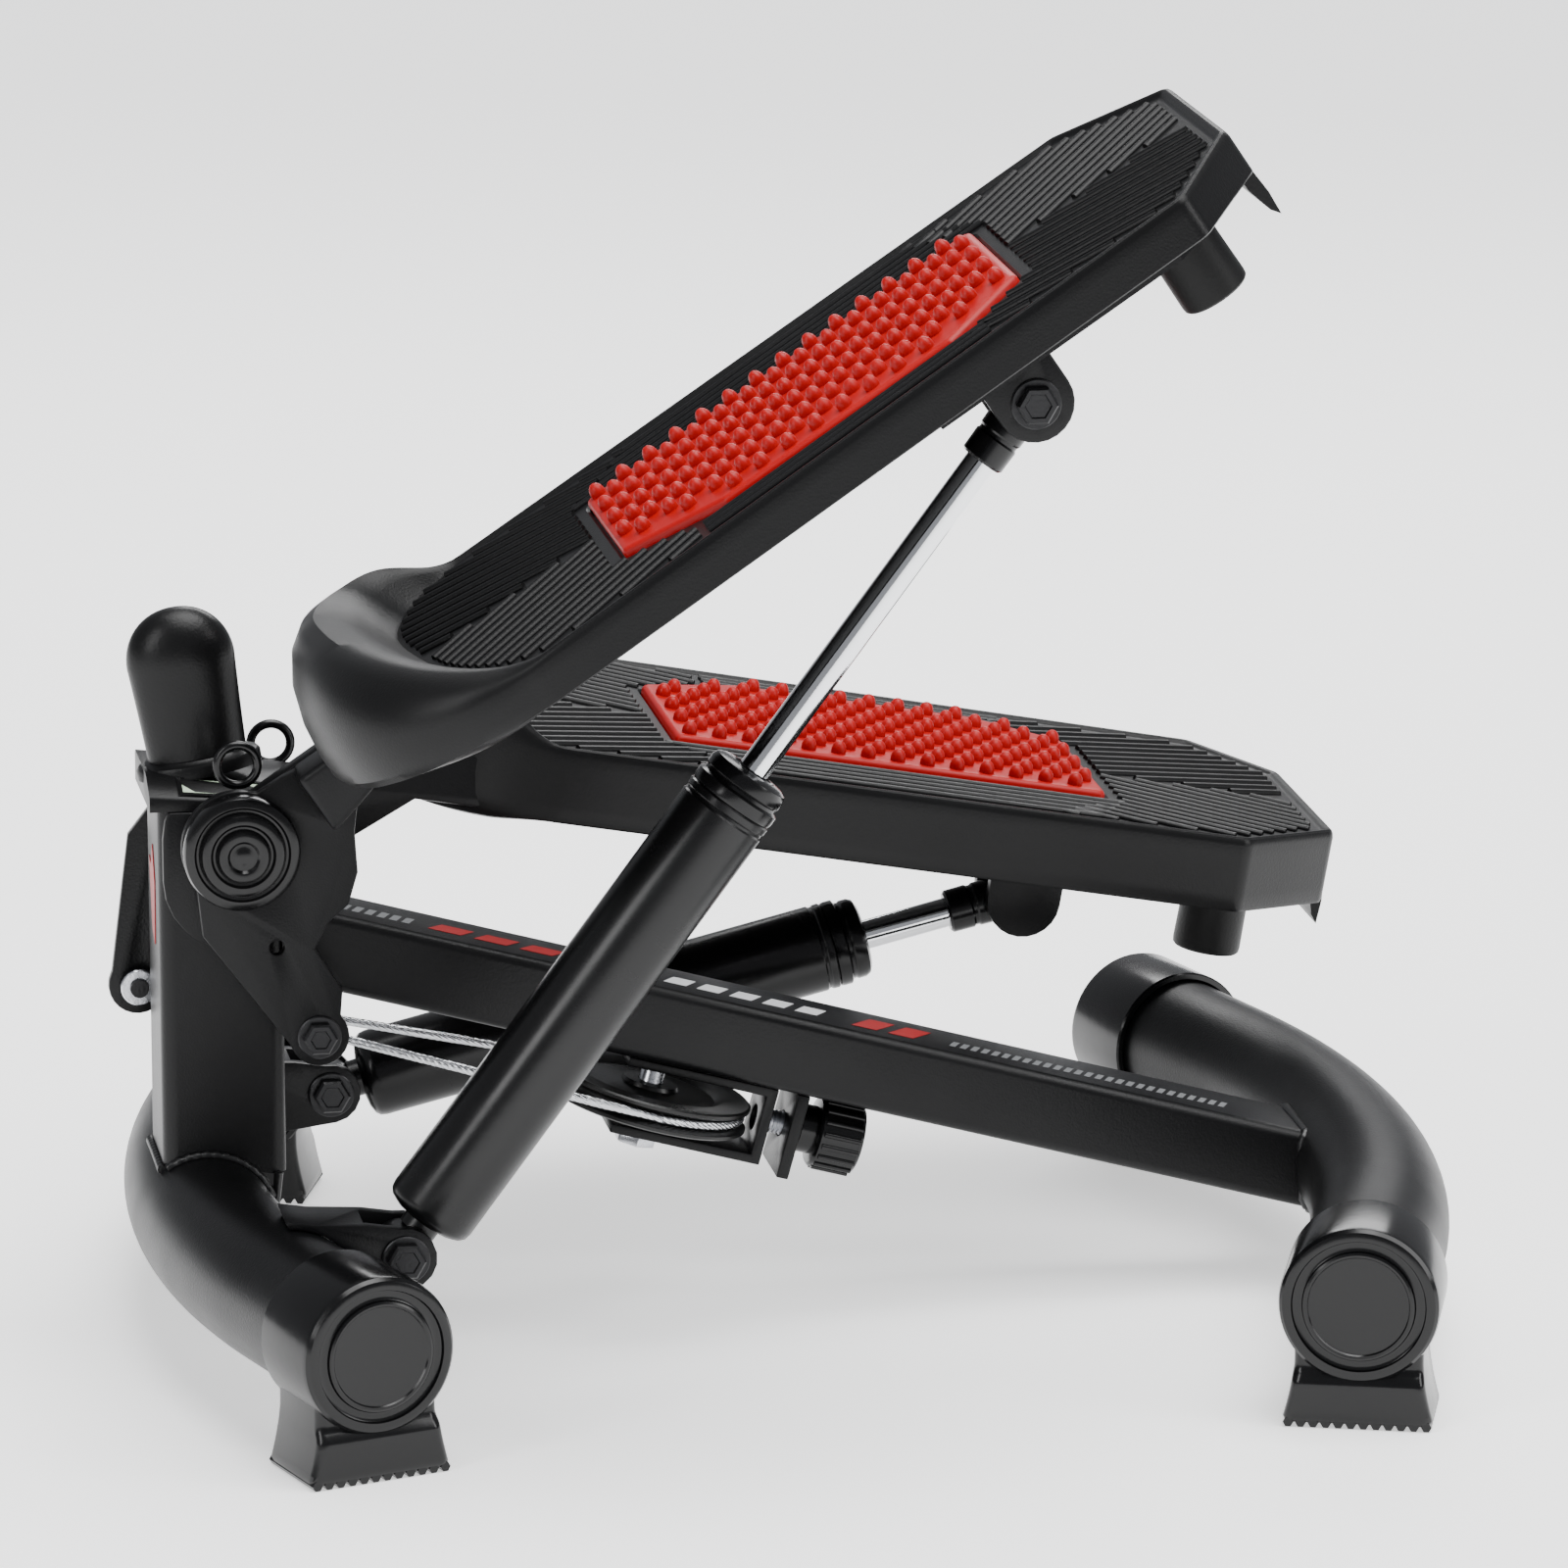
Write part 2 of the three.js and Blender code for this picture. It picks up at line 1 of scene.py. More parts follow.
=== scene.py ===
import math
import bmesh
import bpy
from mathutils import Matrix, Vector


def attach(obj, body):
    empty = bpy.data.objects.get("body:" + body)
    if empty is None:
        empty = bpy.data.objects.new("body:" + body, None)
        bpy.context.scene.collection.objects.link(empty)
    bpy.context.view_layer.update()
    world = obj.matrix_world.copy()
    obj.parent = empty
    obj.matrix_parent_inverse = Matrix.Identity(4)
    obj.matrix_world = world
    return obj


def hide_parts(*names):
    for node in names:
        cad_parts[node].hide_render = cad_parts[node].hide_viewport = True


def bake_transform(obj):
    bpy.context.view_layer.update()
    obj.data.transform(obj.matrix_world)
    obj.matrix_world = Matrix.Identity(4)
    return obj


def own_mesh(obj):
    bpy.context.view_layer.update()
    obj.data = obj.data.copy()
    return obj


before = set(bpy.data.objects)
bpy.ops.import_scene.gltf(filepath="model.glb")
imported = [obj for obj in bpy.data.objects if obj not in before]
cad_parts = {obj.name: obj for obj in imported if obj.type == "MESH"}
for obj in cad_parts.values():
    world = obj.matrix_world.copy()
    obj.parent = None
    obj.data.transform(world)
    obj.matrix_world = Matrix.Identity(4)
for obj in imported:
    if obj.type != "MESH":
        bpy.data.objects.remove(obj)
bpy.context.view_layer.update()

# ---- studio --------------------------------------------------------------------------------------
# A pale floor under soft boxes of light, which the dark enamel and the moulded treads pick up as
# long highlights. The camera stands low at the user's left and looks a little down on the stepper.
MM = 0.001
scene = bpy.context.scene


def principled(name, color, roughness, metallic=0.0, shine=0.5):
    look = bpy.data.materials.new(name)
    look.use_nodes = True
    shader = look.node_tree.nodes["Principled BSDF"]
    shader.inputs["Base Color"].default_value = (*color, 1)
    shader.inputs["Roughness"].default_value = roughness
    shader.inputs["Metallic"].default_value = metallic
    shader.inputs["Specular IOR Level"].default_value = shine
    return look, shader


bpy.ops.mesh.primitive_plane_add(size=9)
floor = bpy.context.object
floor.name = "studio_floor"
floor_look, floor_shader = principled("studio_floor", (0.93, 0.93, 0.93), 0.7)
floor_shader.inputs["Emission Color"].default_value = (1, 1, 1, 1)
floor_shader.inputs["Emission Strength"].default_value = 0.8
floor.data.materials.append(floor_look)

world = bpy.data.worlds.new("studio_air")
world.use_nodes = True
world.node_tree.nodes["Background"].inputs["Color"].default_value = (0.93, 0.95, 1, 1)
world.node_tree.nodes["Background"].inputs["Strength"].default_value = 0.36
scene.world = world


def soft_box(name, place, aim, size, watts):
    lamp = bpy.data.lights.new(name, "AREA")
    lamp.shape = "RECTANGLE"
    lamp.size, lamp.size_y = size
    lamp.energy = watts
    holder = bpy.data.objects.new(name, lamp)
    holder.location = place
    holder.rotation_euler = (Vector(aim) - Vector(place)).to_track_quat("-Z", "Y").to_euler()
    scene.collection.objects.link(holder)


soft_box("overhead_box", (0.1, 0.1, 1.7), (0, 0, 0.1), (1.4, 1.0), 20)
soft_box("left_box", (-1.5, -1.1, 1.1), (-0.05, 0, 0.18), (0.5, 1.3), 16)
soft_box("right_box", (1.5, -0.9, 0.9), (0.05, 0, 0.15), (0.5, 1.2), 12)
soft_box("back_box", (0.5, 1.6, 1.2), (0, 0, 0.2), (1.2, 0.5), 14)

sun = bpy.data.objects.new("broad_sun", bpy.data.lights.new("broad_sun", "SUN"))
sun.data.energy = 3.2
sun.data.angle = math.radians(50)
sun.rotation_euler = (math.radians(12), math.radians(14), 0)
scene.collection.objects.link(sun)

EYE_PLACE = Vector((-0.482, -2.814, 0.874))
EYE_AIM = Vector((0.001, 0.0, 0.174))
eye = bpy.data.objects.new("eye", bpy.data.cameras.new("eye"))
eye.location = EYE_PLACE
eye.rotation_euler = (EYE_AIM - EYE_PLACE).to_track_quat("-Z", "Y").to_euler()
eye.data.sensor_width = 36
eye.data.lens = 207.7
scene.collection.objects.link(eye)
scene.camera = eye

# ---- stabilizers ---------------------------------------------------------------------------------
# Two round steel tubes bowed outwards in a bender and powder coated satin black. They are one
# length of tube each, straight at both ends where the feet push on.
TUBE_R, TUBE_Z, BASE_X = 22.5, 40.5, 192
BOW_R, BOW = 347, math.radians(18)
BASE_Y = 172
GRAIN_HEIGHT = 0.0005


def new_node(nodes, kind, values):
    """A node with these values on its sockets."""
    node = nodes.new(kind)
    for socket, value in values.items():
        node.inputs[socket].default_value = value
    return node


def grained(name, color, roughness, metallic=0.0, grain=900, depth=0.05, patch=14, uneven=0.08,
            lift=1.25, shine=0.5):
    """A finish with a fine surface grain, and broad patches where it is a little rougher and paler."""
    look, shader = principled(name, color, roughness, metallic, shine)
    nodes, links = look.node_tree.nodes, look.node_tree.links
    place = nodes.new("ShaderNodeTexCoord")
    fine = new_node(nodes, "ShaderNodeTexNoise", {"Scale": grain, "Detail": 4})
    bump = new_node(nodes, "ShaderNodeBump", {"Strength": depth, "Distance": GRAIN_HEIGHT})
    broad = new_node(nodes, "ShaderNodeTexNoise", {"Scale": patch, "Detail": 6})
    spread = new_node(nodes, "ShaderNodeMapRange", {"From Min": 0.3, "From Max": 0.7,
                                                    "To Min": roughness - uneven,
                                                    "To Max": roughness + uneven})
    tone = nodes.new("ShaderNodeMix")
    tone.data_type = "RGBA"
    tone.inputs["A"].default_value = (*color, 1)
    tone.inputs["B"].default_value = (*[min(c * lift, 1) for c in color], 1)
    for out, socket in ((place.outputs["Object"], fine.inputs["Vector"]),
                        (place.outputs["Object"], broad.inputs["Vector"]),
                        (fine.outputs["Fac"], bump.inputs["Height"]),
                        (bump.outputs["Normal"], shader.inputs["Normal"]),
                        (broad.outputs["Fac"], spread.inputs["Value"]),
                        (spread.outputs["Result"], shader.inputs["Roughness"]),
                        (broad.outputs["Fac"], tone.inputs["Factor"]),
                        (tone.outputs["Result"], shader.inputs["Base Color"])):
        links.new(out, socket)
    return look


powder_coat = grained("powder_coat", (0.0035, 0.0035, 0.0038), 0.36, grain=1400, depth=0.22,
                      lift=1.5, shine=0.2)


def finish_mesh(mesh, sharp=35):
    """Merges seams, turns the faces outwards and shades curved stretches smooth."""
    form = bmesh.new()
    form.from_mesh(mesh)
    bmesh.ops.remove_doubles(form, verts=form.verts, dist=1e-6)
    bmesh.ops.dissolve_degenerate(form, edges=form.edges, dist=1e-6)
    bmesh.ops.recalc_face_normals(form, faces=form.faces)
    form.to_mesh(mesh)
    form.free()
    mesh.shade_smooth()
    mesh.set_sharp_from_angle(angle=math.radians(sharp))


def fit(piece, body, look, slot, *stands_for):
    """Gives a finished piece its material and its body; its finish slot is not used."""
    piece.data.materials.clear()
    piece.data.materials.append(look)
    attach(piece, body)
    if stands_for:
        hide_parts(*stands_for)
    return piece


def piece_from(name, points, faces, sharp=35):
    """A mesh object from points in millimetres."""
    mesh = bpy.data.meshes.new(name)
    mesh.from_pydata([Vector(p) * MM for p in points], [], faces)
    finish_mesh(mesh, sharp)
    piece = bpy.data.objects.new(name, mesh)
    scene.collection.objects.link(piece)
    return piece


def skin(loops, cap_start=True, cap_end=True, ring=False):
    """Points and faces of a form that passes through equal loops; a ring closes on its first loop."""
    count = len(loops[0])
    points = [p for loop in loops for p in loop]
    faces = []
    for i in range(len(loops) if ring else len(loops) - 1):
        a, b = i * count, ((i + 1) % len(loops)) * count
        for j in range(count):
            k = (j + 1) % count
            faces.append((a + j, a + k, b + k, b + j))
    if cap_start and not ring:
        faces.append(tuple(range(count)))
    if cap_end and not ring:
        faces.append(tuple(range((len(loops) - 1) * count, len(loops) * count)))
    return points, faces


def tube_loops(path, radius, sides=32):
    """Round sections along a path; radius is a number or a function of the step."""
    path = [Vector(p) for p in path]
    loops, across = [], None
    for i, point in enumerate(path):
        along = (path[min(i + 1, len(path) - 1)] - path[max(i - 1, 0)]).normalized()
        if across is None:
            across = along.orthogonal().normalized()
        across = (across - along * across.dot(along)).normalized()
        other = along.cross(across)
        r = radius(i) if callable(radius) else radius
        loops.append([point + (across * math.cos(a) + other * math.sin(a)) * r
                      for a in (2 * math.pi * s / sides for s in range(sides))])
    return loops


def bow(y):
    """How far the tube has bent back towards the middle at this distance along it."""
    bent = BOW_R * math.sin(BOW)
    if abs(y) < bent:
        return BOW_R - math.sqrt(BOW_R**2 - y * y)
    return BOW_R * (1 - math.cos(BOW)) + (abs(y) - bent) * math.tan(BOW)


for name, end in (("front", -1), ("rear", 1)):
    tip = BASE_Y - 4.5
    path = [(end * (BASE_X - bow(y)), y, TUBE_Z) for y in (tip * k / 40 for k in range(-40, 41))]
    tube = piece_from(f"{name}_bowed_tube", *skin(tube_loops(path, TUBE_R, 56)))
    fit(tube, "frame", powder_coat, "steel_black", f"{name}_stabilizer")

# ---- feet ----------------------------------------------------------------------------------------
# Each foot is one glossy black moulding: a cup over the tube's end with stepped rings on its face,
# and a waisted block below it that flares to a ribbed sole. It pushes on and turns with the tube's
# splay.
gloss_black = grained("gloss_black", (0.002, 0.002, 0.0022), 0.2, grain=260, depth=0.06, patch=30,
                      uneven=0.05, lift=1.6, shine=0.32)


def turned(profile, sides=56):
    """Round loops about Z, one for each (radius, along) pair of a turned part's profile."""
    turns = [2 * math.pi * s / sides for s in range(sides)]
    return [[(r * math.cos(a), r * math.sin(a), z) for a in turns] for r, z in profile]


def placed(points, matrix):
    return [matrix @ Vector(p) for p in points]


def lathe(name, profile, where, sides=56, sharp=30, ring=False):
    """A turned piece, put in place by a matrix."""
    points, faces = skin(turned(profile, sides), False, False, ring)
    return piece_from(name, placed(points, where), faces, sharp)


def rounded_box(half_x, half_y, radius, middle=(0, 0), steps=5):
    """A rectangle with round corners, as points in a plane."""
    points = []
    for k, (sx, sy) in enumerate(((1, 1), (-1, 1), (-1, -1), (1, -1))):
        for s in range(steps + 1):
            a = math.radians(90 * k + 90 * s / steps)
            points.append((middle[0] + sx * (half_x - radius) + radius * math.cos(a),
                           middle[1] + sy * (half_y - radius) + radius * math.sin(a)))
    return points


def new_tree(name, inputs, output):
    """A node tree with named sockets that ends in Realize Instances and Set Material."""
    tree = bpy.data.node_groups.new(name, "GeometryNodeTree")
    for label, kind in {**inputs, "Finish": "Material"}.items():
        tree.interface.new_socket(label, in_out="INPUT", socket_type="NodeSocket" + kind)
    tree.interface.new_socket(output, in_out="OUTPUT", socket_type="NodeSocketGeometry")
    nodes, links = tree.nodes, tree.links
    start, end = nodes.new("NodeGroupInput"), nodes.new("NodeGroupOutput")
    real = nodes.new("GeometryNodeRealizeInstances")
    paint = nodes.new("GeometryNodeSetMaterial")
    links.new(real.outputs["Geometry"], paint.inputs["Geometry"])
    links.new(start.outputs["Finish"], paint.inputs["Material"])
    links.new(paint.outputs["Geometry"], end.inputs[output])
    return tree, start, real


def bars_tree():
    """Geometry Nodes: a round-topped bar along every edge of the mesh it is given."""
    tree, start, real = new_tree("bars_along_edges", {"Lines": "Geometry", "Bar radius": "Float",
                                                      "Bar sides": "Int"}, "Bars")
    nodes, links = tree.nodes, tree.links
    curve = nodes.new("GeometryNodeMeshToCurve")
    section = nodes.new("GeometryNodeCurvePrimitiveCircle")
    sweep = new_node(nodes, "GeometryNodeCurveToMesh", {"Fill Caps": True})
    links.new(start.outputs["Lines"], curve.inputs["Mesh"])
    links.new(start.outputs["Bar radius"], section.inputs["Radius"])
    links.new(start.outputs["Bar sides"], section.inputs["Resolution"])
    links.new(curve.outputs["Curve"], sweep.inputs["Curve"])
    links.new(section.outputs["Curve"], sweep.inputs["Profile Curve"])
    links.new(sweep.outputs["Mesh"], real.inputs["Geometry"])
    return tree


BARS = bars_tree()


def run_tree(name, tree, points, edges, settings):
    """Runs a node tree on points and edges in millimetres, and keeps the result as a plain mesh."""
    mesh = bpy.data.meshes.new(name + "_guide")
    mesh.from_pydata([Vector(p) * MM for p in points], edges, [])
    guide = bpy.data.objects.new(name + "_guide", mesh)
    scene.collection.objects.link(guide)
    nodes = guide.modifiers.new("nodes", "NODES")
    nodes.node_group = tree
    for item in tree.interface.items_tree:
        if item.in_out == "INPUT" and item.name in settings:
            nodes[item.identifier] = settings[item.name]
    bpy.context.view_layer.update()
    result = bpy.data.meshes.new_from_object(guide.evaluated_get(bpy.context.evaluated_depsgraph_get()))
    bpy.data.objects.remove(guide)
    finish_mesh(result, 50)
    piece = bpy.data.objects.new(name, result)
    scene.collection.objects.link(piece)
    return piece


def bars(name, lines, radius, look, sides=8):
    points = [p for line in lines for p in line]
    edges = [(2 * i, 2 * i + 1) for i in range(len(lines))]
    return run_tree(name, BARS, points, edges,
                    {"Bar radius": radius * MM, "Bar sides": sides, "Finish": look})


FOOT_HALF, FOOT_DEPTH = 24, 34
SOLE = 1.7
cup_profile = [(0, -4), (22.6, -4), (22.8, -33.4), (23.4, -34), (25, -34), (25.5, -33.3),
               (25.5, -3.2), (25.1, -1.6), (24.1, -0.5), (22.6, 0), (21.3, -0.1), (20.9, -1.1),
               (20.3, -1.4), (18.6, -1.4), (18, -1.1), (17.6, -0.2), (16.9, 0.1), (16.2, 0),
               (15.8, -0.5), (15.2, -0.6), (0, -0.3)]
for name, end, side, turn in (("front_left", -1, -1, 198), ("front_right", -1, 1, -18),
                              ("rear_left", 1, -1, 162), ("rear_right", 1, 1, 18)):
    stand = (Matrix.Translation((end * (BASE_X - bow(BASE_Y)), side * BASE_Y, 0))
             @ Matrix.Rotation(math.radians(turn), 4, "Z"))
    face = stand @ Matrix.Translation((0, 0, TUBE_Z)) @ Matrix.Rotation(math.radians(-90), 4, "X")
    fit(lathe(f"{name}_foot_cup", cup_profile, face, 72, 28), "frame", gloss_black, "cap_black",
        f"{name}_foot")

    loops = []
    for k in range(17):
        z = SOLE + (27 - SOLE) * k / 16
        flare = max(0.0, (21 - z) / 19) ** 1.5 * 3.6
        edge = 0.9 if k == 0 else 0.0
        behind = min(max((z - 15.5) / 3, 0), 1) * 2.6
        half = 20.4 + flare - edge
        plan = rounded_box(half, (FOOT_DEPTH - 0.6 - behind) / 2 - edge, 3.2,
                           (0, -(FOOT_DEPTH + behind) / 2))
        loops.append([(x, y, z) for x, y in plan])
    points, faces = skin(loops)
    block = piece_from(f"{name}_foot_block", placed(points, stand), faces, 40)
    fit(block, "frame", gloss_black, "cap_black")
    lines = [(stand @ Vector((x, -FOOT_DEPTH + 0.8, SOLE)), stand @ Vector((x, -0.8, SOLE)))
             for x in (-FOOT_HALF + 2.2 + i * 3.96 for i in range(12))]
    fit(bars(f"{name}_sole_ribs", lines, SOLE - 0.02, gloss_black, 6), "frame", gloss_black, "cap_black")

# ---- column and main beam ------------------------------------------------------------------------
# Square column over the front tube, and a rectangular beam sloping from it down to the rear tube.
# Both are coped round the stabilizers and welded, then coated with them. Printed stripes run along
# the beam's top.
COLUMN_TOP = 178.5
SLOPE = math.radians(15.4)
beam_frame = Matrix.Translation((-34, 0, 109.5)) @ Matrix.Rotation(SLOPE, 4, "Y")
weld = grained("weld_bead", (0.006, 0.006, 0.0063), 0.3, grain=700, depth=0.35, lift=1.6, shine=0.4)


def tube_surface(x, y, end, clearance):
    """Height of the top of a stabilizer over this place in plan, or None beside it."""
    reach = (TUBE_R + clearance) ** 2 - (x - end * (BASE_X - bow(y))) ** 2
    return TUBE_Z + math.sqrt(reach) if reach > 0 else None


def bead(name, path, radius):
    """A weld bead: a small round ridge with ripples along it."""
    path = [Vector(p) for p in path]
    ripple = [radius * (1 + 0.16 * math.sin(i * 2.1)) for i in range(len(path))]
    return fit(piece_from(name, *skin(tube_loops(path, lambda i: ripple[i], 8)), 60), "frame", weld,
               "steel_black")


outline = rounded_box(20, 20, 5, (-185, 0), 8)
column_foot = [(x, y, max(56.5, tube_surface(x, y, -1, 0.4) or 0)) for x, y in outline]
rings = [column_foot, [(x, y, 70 + 0.02 * z) for x, y, z in column_foot],
         [(x, y, COLUMN_TOP) for x, y in outline]]
column = piece_from("square_column", *skin(rings))
fit(column, "frame", powder_coat, "steel_black", "front_column")
side_arc = [(x, -20.6, (tube_surface(x, -20.6, -1, 0.6) or 57)) for x in (-204 + i for i in range(37))]
bead("column_left_weld", side_arc, 1.5)
bead("column_right_weld", [(x, -y, z) for x, y, z in side_arc], 1.5)
front_line = [(-205.5, y, (tube_surface(-205.5, y, -1, 0.6) or 57)) for y in range(-18, 19)]
bead("column_front_weld", front_line, 1.5)


def beam_end(y, n):
    """Where a line along the beam meets the rear tube, in beam lengths."""
    low, high = 120.0, 232.0
    for _ in range(30):
        mid = (low + high) / 2
        p = beam_frame @ Vector((mid, y, n))
        across = math.hypot(p.x - (BASE_X - bow(y)), p.z - TUBE_Z)
        low, high = (low, mid) if across < TUBE_R - 0.5 or p.x > 190 else (mid, high)
    return low


section = rounded_box(17.5, 12.5, 3.4, (0, -12.5), 7)
front = [beam_frame @ Vector(((-164.6 + 34 - n * math.sin(SLOPE)) / math.cos(SLOPE), y, n))
         for y, n in section]
back = [beam_frame @ Vector((beam_end(y, n), y, n)) for y, n in section]
beam = piece_from("rectangular_beam", *skin([front, back]))
fit(beam, "frame", powder_coat, "steel_black", "main_beam")
bead("beam_front_weld", [p + Vector((0.2, 0, 0)) for p in front + front[:1]], 1.6)
bead("beam_rear_weld", [p + Vector((-0.4, 0, 0)) for p in back + back[:1]], 1.6)

stripe_red = grained("stripe_red", (0.34, 0.0008, 0.002), 0.4, grain=600, depth=0.03, lift=1.1)
stripe_white = grained("stripe_white", (0.78, 0.79, 0.8), 0.35, grain=600, depth=0.03, lift=1.05)
stripe_grey = grained("stripe_grey", (0.16, 0.165, 0.17), 0.4, grain=600, depth=0.03, lift=1.2)


def slashes(name, look, slot, start, stop, pitch, length, low, high, lean):
    """A row of leaning print marks on the beam's top, each a film a tenth of a millimetre thick."""
    points, faces = [], []
    sides = ((0, 1, 2, 3), (4, 5, 6, 7), (0, 1, 5, 4), (1, 2, 6, 5), (2, 3, 7, 6), (3, 0, 4, 7))
    for i in range(int((stop - start) / pitch)):
        s = start + i * pitch
        faces += [tuple(len(points) + q for q in f) for f in sides]
        for n in (0.02, 0.12):
            points += [(s, low, n), (s + length, low, n), (s + length + lean, high, n),
                       (s + lean, high, n)]
    return fit(piece_from(name, placed(points, beam_frame), faces, 20), "frame", look, slot)


slashes("front_grey_slashes", stripe_grey, "display", -116, -90, 4.2, 2.6, -6, 2, 3)
slashes("front_red_slashes", stripe_red, "rubber_red", -86, -38, 15.5, 11, -6, 3.5, 6)
slashes("mid_red_slashes", stripe_red, "rubber_red", -34, -8, 8.5, 5, -6, 3.5, 6)
slashes("mid_white_slashes", stripe_white, "display", -6, 56, 11.2, 7.6, -6, 3.5, 5)
slashes("rear_red_slashes", stripe_red, "rubber_red", 58, 84, 12.6, 8.6, -8, 6, 9)
slashes("rear_grey_slashes", stripe_grey, "display", 92, 190, 3.6, 2.1, -6.5, 0.5, 3)
flag_outline = [(-6, 131), (1, 134), (9, 157), (4, 155), (-1, 163), (-7, 152)]
flag_loops = [[(x, y, z) for y, z in flag_outline] for x in (-205.35, -205.05)]
flag = piece_from("column_flag", *skin(flag_loops), 20)
fit(flag, "frame", stripe_red, "rubber_red")

# ---- axle plates, axle and caps ------------------------------------------------------------------
# A steel axle through the column carries both hubs, between two welded plates. Pressed black caps
# with stepped rings hide its ends.
AXLE = Vector((-181, 0, 169.6))
zinc = grained("zinc_plate", (0.56, 0.57, 0.6), 0.28, 1.0, grain=500, depth=0.12, patch=60, uneven=0.1,
               lift=1.1)
blackened = grained("blackened_bolt", (0.014, 0.014, 0.015), 0.34, 0.6, grain=900, depth=0.15, lift=1.5)


def eased(form, name, width, segments=2, sharp=40):
    """Turns a bmesh into a piece with its flats cleaned up and its edges rounded over."""
    bmesh.ops.remove_doubles(form, verts=form.verts, dist=1e-5)
    bmesh.ops.recalc_face_normals(form, faces=form.faces)
    bmesh.ops.dissolve_limit(form, angle_limit=math.radians(1.5), verts=form.verts, edges=form.edges)
    edges = [e for e in form.edges if len(e.link_faces) == 2 and e.calc_face_angle(0) > math.radians(40)]
    bmesh.ops.bevel(form, geom=edges, offset=width * MM, segments=segments, profile=0.5, affect="EDGES",
                    clamp_overlap=True)
    mesh = bpy.data.meshes.new(name)
    form.to_mesh(mesh)
    form.free()
    mesh.shade_smooth()
    mesh.set_sharp_from_angle(angle=math.radians(sharp))
    piece = bpy.data.objects.new(name, mesh)
    scene.collection.objects.link(piece)
    return piece


def softened(node, body, look, slot, width, segments=2):
    """The frame's own solid with its edges rounded over."""
    form = bmesh.new()
    form.from_mesh(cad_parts[node].data)
    return fit(eased(form, node + "_finished", width, segments), body, look, slot, node)


def slab(name, space, outline, low, high, width, holes=(), segments=2):
    """A plate or block of this outline in a space's first and third coordinates, its edges eased."""
    form = bmesh.new()
    edges = []
    for ring in (outline, *holes):
        corners = [form.verts.new(space @ Vector((u, low, w)) * MM) for u, w in ring]
        edges += [form.edges.new((corners[i - 1], corners[i])) for i in range(len(corners))]
    bmesh.ops.triangle_fill(form, use_beauty=True, use_dissolve=False, edges=edges)
    grown = bmesh.ops.extrude_face_region(form, geom=list(form.faces))["geom"]
    bmesh.ops.translate(form, vec=space.to_3x3() @ Vector((0, high - low, 0)) * MM,
                        verts=[g for g in grown if isinstance(g, bmesh.types.BMVert)])
    return eased(form, name, width, segments)


def circle(u, w, radius, sides=36, start=0, sweep=360):
    """Points on an arc, in degrees; a full turn leaves out the repeated last point."""
    count = sides if sweep % 360 == 0 else sides + 1
    return [(u + radius * math.cos(math.radians(start + sweep * k / sides)),
             w + radius * math.sin(math.radians(start + sweep * k / sides))) for k in range(count)]


def repaint(node, look):
    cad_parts[node].data.materials.clear()
    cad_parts[node].data.materials.append(look)


def across_matrix(x, y, z, side):
    """Places a turned part on a cross axis, with its outer end towards that side."""
    return Matrix.Translation((x, y, z)) @ Matrix.Rotation(math.radians(90 if side < 0 else -90), 4, "X")


cap_profile = [(0, 42), (7.4, 42), (7.4, 40.9), (17.9, 40.9), (18.6, 41.6), (18.7, 45.2),
               (18.1, 46.5), (16.8, 47.1), (15.4, 47.2), (14.7, 46.6), (14, 46.5), (13.6, 47.4),
               (13, 49), (12.1, 49.4), (10.4, 49.3), (9.6, 48.5), (8.9, 48.4), (8.4, 49.2),
               (7.8, 50.6), (6.6, 50.9), (5.2, 50.6), (4.4, 49.8), (3.2, 49.7), (2.2, 50.1),
               (0, 50.2)]
for name, side in (("left", -1), ("right", 1)):
    softened(f"{name}_axle_plate", "frame", powder_coat, "steel_black", 0.8)
    cap = lathe(f"{name}_stepped_cap", cap_profile, across_matrix(AXLE.x, 0, AXLE.z, side), 64)
    fit(cap, "frame", gloss_black, "cap_black", f"{name}_axle_cap")
repaint("pivot_axle", zinc)

# ---- pulley and step-height adjuster -------------------------------------------------------------
# A grooved nylon-filled wheel under the beam turns the cable round. It hangs in a bracket that a
# threaded rod draws along the beam, and a ribbed knob behind a second bracket sets the height of
# the step.
pulley_plastic = grained("pulley_plastic", (0.004, 0.004, 0.004), 0.3, grain=800, depth=0.1, shine=0.35)
PULLEY_N, CABLE_R = -39, 31.5
wheel_profile = [(4.3, -4.5), (9, -4.5), (9.6, -3.2), (22, -2.6), (25, -4.2), (33.2, -4.5),
                 (34, -4), (34, -3), (31.4, -1.5), (29.6, -1.2), (29.3, 0), (29.6, 1.2),
                 (31.4, 1.5), (34, 3), (34, 4), (33.2, 4.5), (25, 4.2), (22, 2.6), (9.6, 3.2),
                 (9, 4.5), (4.3, 4.5)]
wheel = lathe("cable_wheel", [(r, n + PULLEY_N) for r, n in wheel_profile], beam_frame, 72, 30, True)
fit(wheel, "pulley_wheel", pulley_plastic, "tread_black", "pulley")
softened("pulley_bracket", "frame", powder_coat, "steel_black", 0.6)
softened("adjuster_bracket", "frame", powder_coat, "steel_black", 0.6)
softened("pulley_axle", "frame", zinc, "zinc_steel", 0.4)

